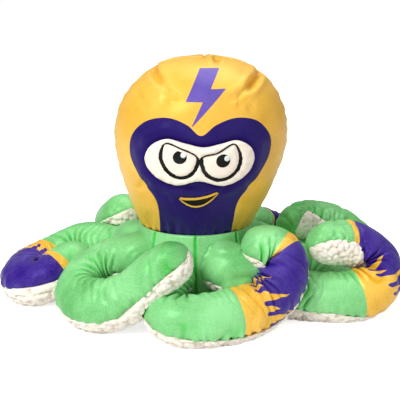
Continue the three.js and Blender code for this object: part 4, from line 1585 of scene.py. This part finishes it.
class Patch:
    """The padded patch that the eyes are sewn on."""

    def __init__(self, shape: HeadShape) -> None:
        """Works out the patch's outline and how far it reaches in each direction.

        Args:
            shape: the head that it is sewn to.
        """
        self.shape = shape
        self.outline = face_outline(PATCH_SHARES, 2 * PATCH_POINTS)
        self.centre = self.outline.mean(axis=0)
        eyes = (LEFT_EYE_SHARES, RIGHT_EYE_SHARES)
        self.eyes = [face_outline(shares, EYE_POINTS // 2) for shares in eyes]
        reach = self.outline - self.centre
        turn = np.arctan2(reach[:, 1], reach[:, 0])
        order = np.argsort(turn)
        self.turns = np.concatenate([turn[order] + around for around in (-2 * math.pi, 0, 2 * math.pi)])
        self.reaches = np.tile(np.linalg.norm(reach[order], axis=1), 3)

    def height(self, flat: Array) -> Array:
        """How far the pad stands off the face: round at its rim, drawn in at the stitching.

        Args:
            flat: places on the face, across and up.

        Returns:
            The height at each place.
        """
        places = flat.reshape(-1, 2)
        across, up = (places - self.centre).T
        turn = np.arctan2(up, across)
        share = np.hypot(across, up) / np.interp(turn, self.turns, self.reaches)
        inside = np.clip(share, 0, 1)
        rim = np.sqrt(np.clip(1 - inside ** PATCH_ROUNDNESS, 0, 1))
        gathers = np.cos(PATCH_GATHER_COUNT * turn + PATCH_GATHER_DRIFT.at(places))
        full = PATCH_HEIGHT * (1 + PATCH_GATHER * gathers * inside ** PATCH_GATHER_POWER)
        pulls = [bell(outline_distance(places, eye), PATCH_STITCH_REACH) for eye in self.eyes]
        height = PATCH_RIM + (full - PATCH_STITCH_DIP * np.maximum(*pulls)) * rim
        return height.reshape(flat.shape[:-1])

    def pupil_top(self, flat: Array) -> Array:
        """The height of a pupil's top over places of the patch."""
        return self.height(flat) + THREAD_HEIGHT * SHINE_LIFT_SHARE

    def surface(self) -> Surface:
        """The pad as rings from its rim to its middle.

        Returns:
            The surface.
        """
        rings = [np.linspace(*span) for span in PATCH_RING_SPANS]
        shares = np.concatenate([PATCH_RIM_SHARES, *rings])
        flat = self.centre + shares[:, None, None] * (self.outline - self.centre)
        height = self.height(flat)
        height[0] = PATCH_TUCK
        tuft = PATCH_TUFT + PATCH_TUFT_DRIFT.at(flat)
        return Surface(self.shape.on_face(flat, height), True, {"tuft": tuft}).with_normals()


def ribbon(shape: HeadShape, outline: Array, width: float, base: Height, thinning: float = 0.0) -> Surface:
    """A raised satin-stitch line along a closed outline.

    Args:
        shape: the head that it lies on.
        outline: the line's middle, in places on the face.
        width: the line's width.
        base: gives the height that it lies on, for places on the face.
        thinning: 1 makes the line's upper side thin, 0 leaves it as wide as the rest.

    Returns:
        Its surface, half round across.
    """
    ahead = unit(np.roll(outline, -1, axis=0) - np.roll(outline, 1, axis=0))
    across = stacked(ahead[:, 1], -ahead[:, 0])
    angles = np.linspace(-math.pi / 2, math.pi / 2, RIBBON_COLUMNS)[:, None]
    following = np.roll(outline, -1, axis=0)
    area = np.sum(outline[:, 0] * following[:, 1] - outline[:, 1] * following[:, 0])
    upper = smoothstep(*RIBBON_UPPER, across[:, 1] * (-1 if area < 0 else 1))
    half = width / 2 * (RIBBON_THINNING[0] - RIBBON_THINNING[1] * upper * thinning)
    ragged = np.where(angles < 0, STITCH_ENDS.at(outline), STITCH_ENDS.at(outline, 1))
    half = half * (1 + STITCH_RAGGED_SHARE * ragged)
    flat = outline + (half * np.sin(angles))[..., None] * across
    height = (base(np.repeat(outline[None], len(angles), axis=0)) + base(flat)) / 2 - RIBBON_TUCK
    height = height + (THREAD_HEIGHT + RIBBON_TUCK) * np.sqrt(np.cos(angles).clip(0, 1))
    values = {"along": np.broadcast_to(run_along(outline), height.shape)}
    return Surface(shape.on_face(flat, height), True, values).with_normals()


@dataclass
class Dome:
    """A low round dome of thread, kept inside an outline where one is given."""

    centre: Array
    radius: float
    rise: float
    limit: Array | None = None
    room: float = 0.0

    def surface(self, shape: HeadShape, base: Height) -> Surface:
        """Its surface on the head, over the base's height.

        Args:
            shape: the head.
            base: gives the height of what it lies on.

        Returns:
            The surface.
        """
        angles = full_turn(DISC_SIDES)
        ray = stacked(np.cos(angles), np.sin(angles))
        reach = np.full(len(angles), self.radius)
        if self.limit is not None:
            for step in np.linspace(self.radius, self.radius * DISC_LEAST_SHARE, DISC_TRIALS):
                outside = outline_distance(self.centre + ray * reach[:, None], self.limit) > -self.room
                reach = np.where(outside, np.minimum(reach, step), reach)
        shares = np.concatenate([DISC_RIM_SHARES, np.linspace(*DISC_RING_SPAN)])[:, None]
        flat = self.centre + shares[..., None] * (ray * reach[:, None])
        rise = (self.rise + DISC_TUCK) * np.sqrt(np.clip(1 - shares ** 4, 0, 1))
        height = base(flat) - DISC_TUCK + rise
        return Surface(shape.on_face(flat, height), True, {"along": flat[..., 1]}).with_normals()


@dataclass
class Arms:
    """The eight arms: velour above, fleece below, each in a root, a bend and an end."""

    finishes: Finishes
    shapes: list[ArmShape] = field(default_factory=lambda: [ArmShape(n) for n in range(1, ARM_COUNT + 1)])

    def build(self) -> None:
        """Makes the cloth of every arm."""
        self.green = self.finishes.velour("green_velour", Colour.GREEN, GREEN_NAP)
        prints = (
            ("band", Colour.BAND_YELLOW), ("dark", Colour.ARM_PURPLE), ("tongue", Colour.BAND_YELLOW),
            ("stripe", Colour.BAND_YELLOW),
        )
        self.banded = self.finishes.velour("banded_velour", Colour.GREEN, BANDED_NAP, prints)
        self.fleece = self.finishes.wool("sole_fleece")
        for shape in self.shapes:
            self._skin(shape)
            self._sole(shape)

    def _clear(self, points: Array, shape: ArmShape) -> Array:
        """The points of an arm moved clear of the lengths made before them, and of the floor.

        Args:
            points: the points of its surface, row by row.
            shape: the arm.

        Returns:
            The moved points.
        """
        flat = points.reshape(-1, 3)
        end = shape.row_at(shape.hinge_run) * points.shape[1]
        for other in self.shapes:
            if other is shape:
                continue
            earlier = other.number < shape.number
            split = other.row_at(other.hinge_run)
            outside = np.flatnonzero(other.reach > SHOULDER_START + SHOULDER_ROOM)
            root_rows = outside[outside <= split]
            tip_rows = np.arange(split, len(other.run))
            tip = flat[end:]
            for degrees in np.linspace(0, ARM_SWING_DEGREES, SWING_TRIALS + 1):
                tip = turned(tip, shape.pivot, -degrees)
                tip = push_out(tip, other, TOUCH_GAP, root_rows)
                if earlier:
                    tip = push_out(tip, other, TOUCH_GAP, tip_rows)
                tip = turned(tip, shape.pivot, degrees)
            flat[end:] = tip
            if earlier:
                root = flat[:end]
                far = np.hypot(root[:, 0], root[:, 1]) > SHOULDER_START + SHOULDER_REACH
                root[far] = push_out(root[far], other, TOUCH_GAP, root_rows)
        return above_floor(flat.reshape(points.shape))

    def _skin(self, shape: ArmShape) -> None:
        """The velour: a whole tube that dips at the seam and runs inside the sole below it.

        Args:
            shape: the arm.
        """
        count = int(2 * math.pi * ARM_WIDTH / 2 / shape.pitch)
        angles = shape.roll + np.linspace(-math.pi, math.pi, count, endpoint=False)
        off = np.abs(angles - shape.roll)
        edge = math.radians(90 + SOLE_DIP_DEGREES)
        width = math.radians(SEAM_WIDTH_DEGREES)
        seam = bell(off - edge, width)
        below = smoothstep(edge, edge + width, off)
        middle = shape.section(angles, np.zeros(angles.shape))
        lumps = sum(ripple.at(middle, shape.number) for ripple in ARM_LUMPS)
        drift = PUCKER_DRIFT.at(middle, shape.number)
        gathers = np.cos(2 * math.pi * (shape.run[:, None] + drift) / PUCKER_PITCH)
        puckers = PUCKER_DEPTH * gathers * bell(off - edge + width, PUCKER_REACH * width)
        folds = shape.folds(angles)
        grow = lumps + folds * (1 - below) + puckers - SEAM_DIP * seam - SKIN_TUCK * below
        if shape.banded:
            start, _, *ends = BAND_SHARES[shape.number]
            for share in (start, *ends):
                off_edge = shape.run[:, None] - share * shape.run[-1]
                grow = grow - PRINT_EDGE_DIP * bell(off_edge, PRINT_EDGE_WIDTH)
        # Painted shade in the folds, in the lumps' dips and along the seam
        hollow_shade = sum(
            share * smoothstep(start, full, depth)
            for (share, start, full), depth in ((FOLD_SHADE, -(folds + lumps)), (SEAM_SHADE, seam))
        )
        on_cloth = np.cumsum(np.linalg.norm(np.diff(middle, axis=0), axis=2), axis=0)
        on_cloth = np.vstack([np.zeros((1, count)), on_cloth])
        values = self._print(shape, angles, on_cloth) | {"hollow_shade": np.clip(hollow_shade, 0, 1)}
        surface = Surface(self._clear(shape.section(angles, grow), shape), True, values).with_normals()
        surface.normals[-1] = shape.heading[-1]
        material = self.banded if shape.banded else self.green
        self._split(surface, shape, ("cloth", "arm"), material, "green_velour")

    def _print(self, shape: ArmShape, angles: Array, on_cloth: Array) -> dict[str, Array]:
        """The band, the dark length with its flames, and the stripe, as distances in millimetres.

        Args:
            shape: the arm.
            angles: each point's angle off the upper side.
            on_cloth: how far along the cloth each point lies, which is less on the inner side of a bend.

        Returns:
            The distances by name, none for a plain arm.
        """
        if not shape.banded:
            return {}
        run = shape.run[:, None] + np.zeros(angles.shape)
        start, flame_start, stripe_start, stripe_end = (
            share * shape.run[-1] for share in BAND_SHARES[shape.number]
        )
        ahead = run - flame_start + on_cloth - on_cloth[shape.row_at(flame_start)]
        return {
            "band": np.maximum(start - run, run - flame_start),
            "dark": np.maximum(flame_start - run, run - stripe_start),
            "tongue": self._flames(ahead / 2, ARM_WIDTH / 2 * angles, shape.number),
            "stripe": np.maximum(stripe_start - run, run - stripe_end),
        }

    @staticmethod
    def _flames(ahead: Array, around: Array, number: int) -> Array:
        """Flame tongues that lick ahead from the band, as a distance that is negative inside them.

        One long and one short tongue with round gaps between them repeat around the arm. Each
        arm's tongues sway and stretch in their own way.

        Args:
            ahead: how far ahead of the band each point lies.
            around: its place around the arm.
            number: the arm's number.

        Returns:
            Each point's distance.
        """
        places = np.linspace(0, 1, FLAME_POINTS + 1)[:-1]
        tile = np.vstack([spline(np.array(gap), places) for gap in FLAME_GAP_SHARES])
        turns = np.vstack([tile + np.array([0.0, turn]) for turn in (-1, 0, 1)])
        foot = np.array([[-1.0, turns[-1, 1]], [-1.0, turns[0, 1]]])
        outline = np.vstack([turns, foot]) * np.array([FLAME_LENGTH, FLAME_PITCH])
        stretch = FLAME_STRETCH + FLAME_DRIFT.at(stacked(around, np.zeros(around.shape)), number)
        sway = ahead / FLAME_SWAY_LENGTHS[0] + around / FLAME_SWAY_LENGTHS[1] + number
        swayed = np.mod(around + FLAME_SWAY * np.sin(sway), FLAME_PITCH)
        near = (ahead > -FLAME_OVERLAP) & (ahead < 2 * FLAME_LENGTH)
        inside = np.full(ahead.shape, FLAME_PITCH)
        inside[near] = outline_distance(stacked(ahead / stretch, swayed)[near], outline)
        return np.maximum(inside, -ahead - FLAME_OVERLAP)

    def _sole(self, shape: ArmShape) -> None:
        """The fleece: a thick tufted strip along the underside.

        Args:
            shape: the arm.
        """
        edge = math.radians(90 + SOLE_DIP_DEGREES) - FLEECE_MARGIN
        arc = 2 * (math.pi - edge)
        count = int(arc * ARM_WIDTH / 2 / FLEECE_GRID)
        outer = np.linspace(edge, 2 * math.pi - edge, count)
        inner = np.linspace(2 * math.pi - edge, edge, FLEECE_INSIDE_COLUMNS + 2)[1:-1]
        angles = shape.roll + np.concatenate([outer, inner])
        tuft = tufts(shape.section(angles, np.zeros(angles.shape)), SOLE_TUFT_SEED + shape.number)
        tuft[:, count:] = 0.0
        rim = np.sin(np.clip((outer - edge) / arc, 0, 1) * math.pi) ** FLEECE_RIM_POWER
        grow = np.full(angles.shape, FLEECE_INSIDE)
        puff = (SOLE_PUFF + TUFT_HEIGHT * tuft[:, :count]) * (1 + rim) / 2
        grow[:, :count] = FLEECE_START + puff + FLEECE_RIM * rim
        points = self._clear(shape.section(angles, grow), shape)
        surface = Surface(points, True, {"tuft": tuft}).with_normals()
        self._split(surface, shape, ("fleece", "sole"), self.fleece, "cream_fleece")

    @staticmethod
    def _split(
        surface: Surface, shape: ArmShape, words: tuple[str, str], material: Material, slot: str,
    ) -> None:
        """Parts a surface at its bend, gives the root and the end their bodies and leaves the bend where it
        is.

        Args:
            surface: the arm's cloth or fleece.
            shape: the arm.
            words: what the pieces' names end in, and what the solids' names start with.
            material: the pieces' material.
            slot: not used.
        """
        word, node = words
        number, body = shape.number, f"arm_{shape.number}"
        first, second = (shape.row_at(shape.hinge_run + step) for step in (-BEND_REACH, BEND_REACH))
        spans = {"root": (0, first), "bend": (first, second), "end": (second, len(shape.run) - 1)}
        pieces = {
            part: surface.rows(*span).mesh(f"{body}_{part}_{word}", material) for part, span in spans.items()
        }
        dress(pieces["root"], "torso", (f"{node}_{number}_root",))
        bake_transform(pieces["bend"])
        dress(pieces["end"], body, (f"{node}_{number}_end",))


@dataclass
class Trunk:
    """The trunk's cloth between the arms' shoulders, and the fleece base."""

    finishes: Finishes
    sides: int = 440
    levels: int = 60

    def build(self) -> None:
        """Makes the trunk and the base."""
        angles = full_turn(self.sides)
        share = np.linspace(0, 1, self.levels)
        heights = TRUNK_BOTTOM + share * (NECK_SEAM_HEIGHT - TRUNK_BOTTOM)
        swell = TRUNK_SWELL[0] + TRUNK_SWELL[1] * np.sin(math.pi * share)
        beside = np.abs(np.sin(ARM_COUNT / 2 * angles))
        seam = bell(beside, GORE_SEAM[1])
        ridge = bell(beside - GORE_RIDGE[1], GORE_RIDGE[2])
        scale = swell[:, None] * (1 - GORE_SEAM[0] * seam + GORE_RIDGE[0] * ridge)
        roll = np.linspace(0, math.pi, LIP_RINGS + 1)[1:, None]
        rows = []
        for size, neck in ((TRUNK_WIDTH, NECK_WIDTH), (TRUNK_DEPTH, NECK_DEPTH)):
            edge = size / 2 * swell[-1]
            lip = edge + (neck / 2 - LIP_INSET - edge) / 2 * (1 - np.cos(roll))
            rows.append(np.vstack([size / 2 * scale, lip + np.zeros(self.sides)]))
        height = np.concatenate([heights, NECK_SEAM_HEIGHT + LIP_HEIGHT * np.sin(roll[:, 0])])
        points = stacked(rows[0] * np.cos(angles), rows[1] * np.sin(angles), height[:, None])
        # Painted shade along the gores' seams
        surface = Surface(points, True, {"hollow_shade": np.broadcast_to(seam, points.shape[:2])}).with_normals()
        cloth = surface.mesh("trunk_cloth", self.finishes.velour("trunk_velour", Colour.GREEN, GREEN_NAP))
        gores = [f"trunk_gore_{number}" for number in range(1, ARM_COUNT + 1)]
        dress(cloth, "torso", ("trunk_filling", *gores))
        self._base()

    def _base(self) -> None:
        """The tufted fleece base, flat where it rests."""
        angles = full_turn(BASE_SIDES)
        shares = np.concatenate([np.linspace(*BASE_SPAN_SHARES, BASE_RINGS), BASE_EDGE_SHARES])[:, None]
        lift = np.concatenate([np.zeros(BASE_RINGS), BASE_EDGE_HEIGHTS])[:, None]
        flat = BASE_SHARE / 2 * stacked(
            TRUNK_WIDTH * shares * np.cos(angles), TRUNK_DEPTH * shares * np.sin(angles),
        )
        tuft = tufts(flat, BASE_TUFT_SEED)
        height = lift + np.where(lift < 1, BASE_TUFT_HEIGHT * (1 - tuft), 0)
        points = np.concatenate([flat, height[..., None]], axis=-1)[::-1]
        surface = Surface(points, True, {"tuft": tuft[::-1]}).with_normals()
        fleece = surface.mesh("base_fleece", self.finishes.wool("base_wool"))
        dress(fleece, "torso", ("base_panel",))


class Studio:
    """A pale floor, soft lamps and the photograph's camera."""

    def build(self) -> None:
        """Makes the floor, the world, the lamps and the camera."""
        self._floor()
        self._world()
        for name, place, size, power in LAMPS:
            lamp = bpy.data.lights.new(name, "AREA")
            lamp.size = size
            lamp.energy = power
            self._placed(name, lamp, place, LAMP_AIM)
        camera = bpy.data.cameras.new("camera")
        camera.lens = CAMERA_LENS
        camera.sensor_width = CAMERA_SENSOR
        bpy.context.scene.camera = self._placed("camera", camera, CAMERA_PLACE, CAMERA_AIM)
        bpy.context.scene.view_settings.view_transform = "Standard"

    @staticmethod
    def _floor() -> None:
        """A plane that the camera sees as white but for the object's soft shadow."""
        corners = [(x * FLOOR_REACH, y * FLOOR_REACH, 0) for x, y in ((-1, -1), (1, -1), (1, 1), (-1, 1))]
        data = bpy.data.meshes.new("floor")
        data.from_pydata(corners, [], [(0, 1, 2, 3)])
        material, graph = new_finish("floor", 1.0, 0.0)
        shader = graph.tree.nodes["Principled BSDF"]
        graph.feed(shader, {"Base Color": Colour.FLOOR.linear()})
        glow = graph.add("Emission", {"Strength": FLOOR_GLOW})
        both = graph.add("AddShader", {0: shader.outputs["BSDF"], 1: glow})
        path = graph.add("LightPath", {}, "Is Camera Ray")
        seen = graph.add("MixShader", {"Fac": path, 1: shader.outputs["BSDF"], 2: both})
        graph.feed(graph.tree.nodes["Material Output"], {"Surface": seen})
        data.materials.append(material)
        floor = bpy.data.objects.new("floor", data)
        bpy.context.scene.collection.objects.link(floor)

    @staticmethod
    def _world() -> None:
        """A soft grey light from all sides that the camera sees as white."""
        world = bpy.data.worlds.new("studio")
        bpy.context.scene.world = world
        world.use_nodes = True
        graph = Graph(world.node_tree)
        soft = graph.tree.nodes["Background"]
        graph.feed(soft, {"Color": Finishes.white, "Strength": WORLD_LIGHT})
        white = graph.add("Background", {"Strength": 1.0})
        path = graph.add("LightPath", {}, "Is Camera Ray")
        mix = graph.add("MixShader", {"Fac": path, 1: soft.outputs["Background"], 2: white})
        graph.feed(graph.tree.nodes["World Output"], {"Surface": mix})

    @staticmethod
    def _placed(name: str, data: bpy.types.ID, place: Place, aim: Place) -> Thing:
        """A lamp or camera at a place, turned with its -Z towards a point.

        Args:
            name: the object's name.
            data: the lamp or camera.
            place: where it stands.
            aim: the point that it is turned to.

        Returns:
            The object.
        """
        piece = bpy.data.objects.new(name, data)
        bpy.context.scene.collection.objects.link(piece)
        piece.location = place
        piece.rotation_euler = (Vector(aim) - Vector(place)).to_track_quat("-Z", "Y").to_euler()
        return piece


def main() -> None:
    """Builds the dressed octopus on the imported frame."""
    logging.basicConfig(level=logging.INFO)
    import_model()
    finishes = Finishes()
    Studio().build()
    Head(finishes).build()
    Arms(finishes).build()
    Trunk(finishes).build()


if __name__ == "__main__":
    main()
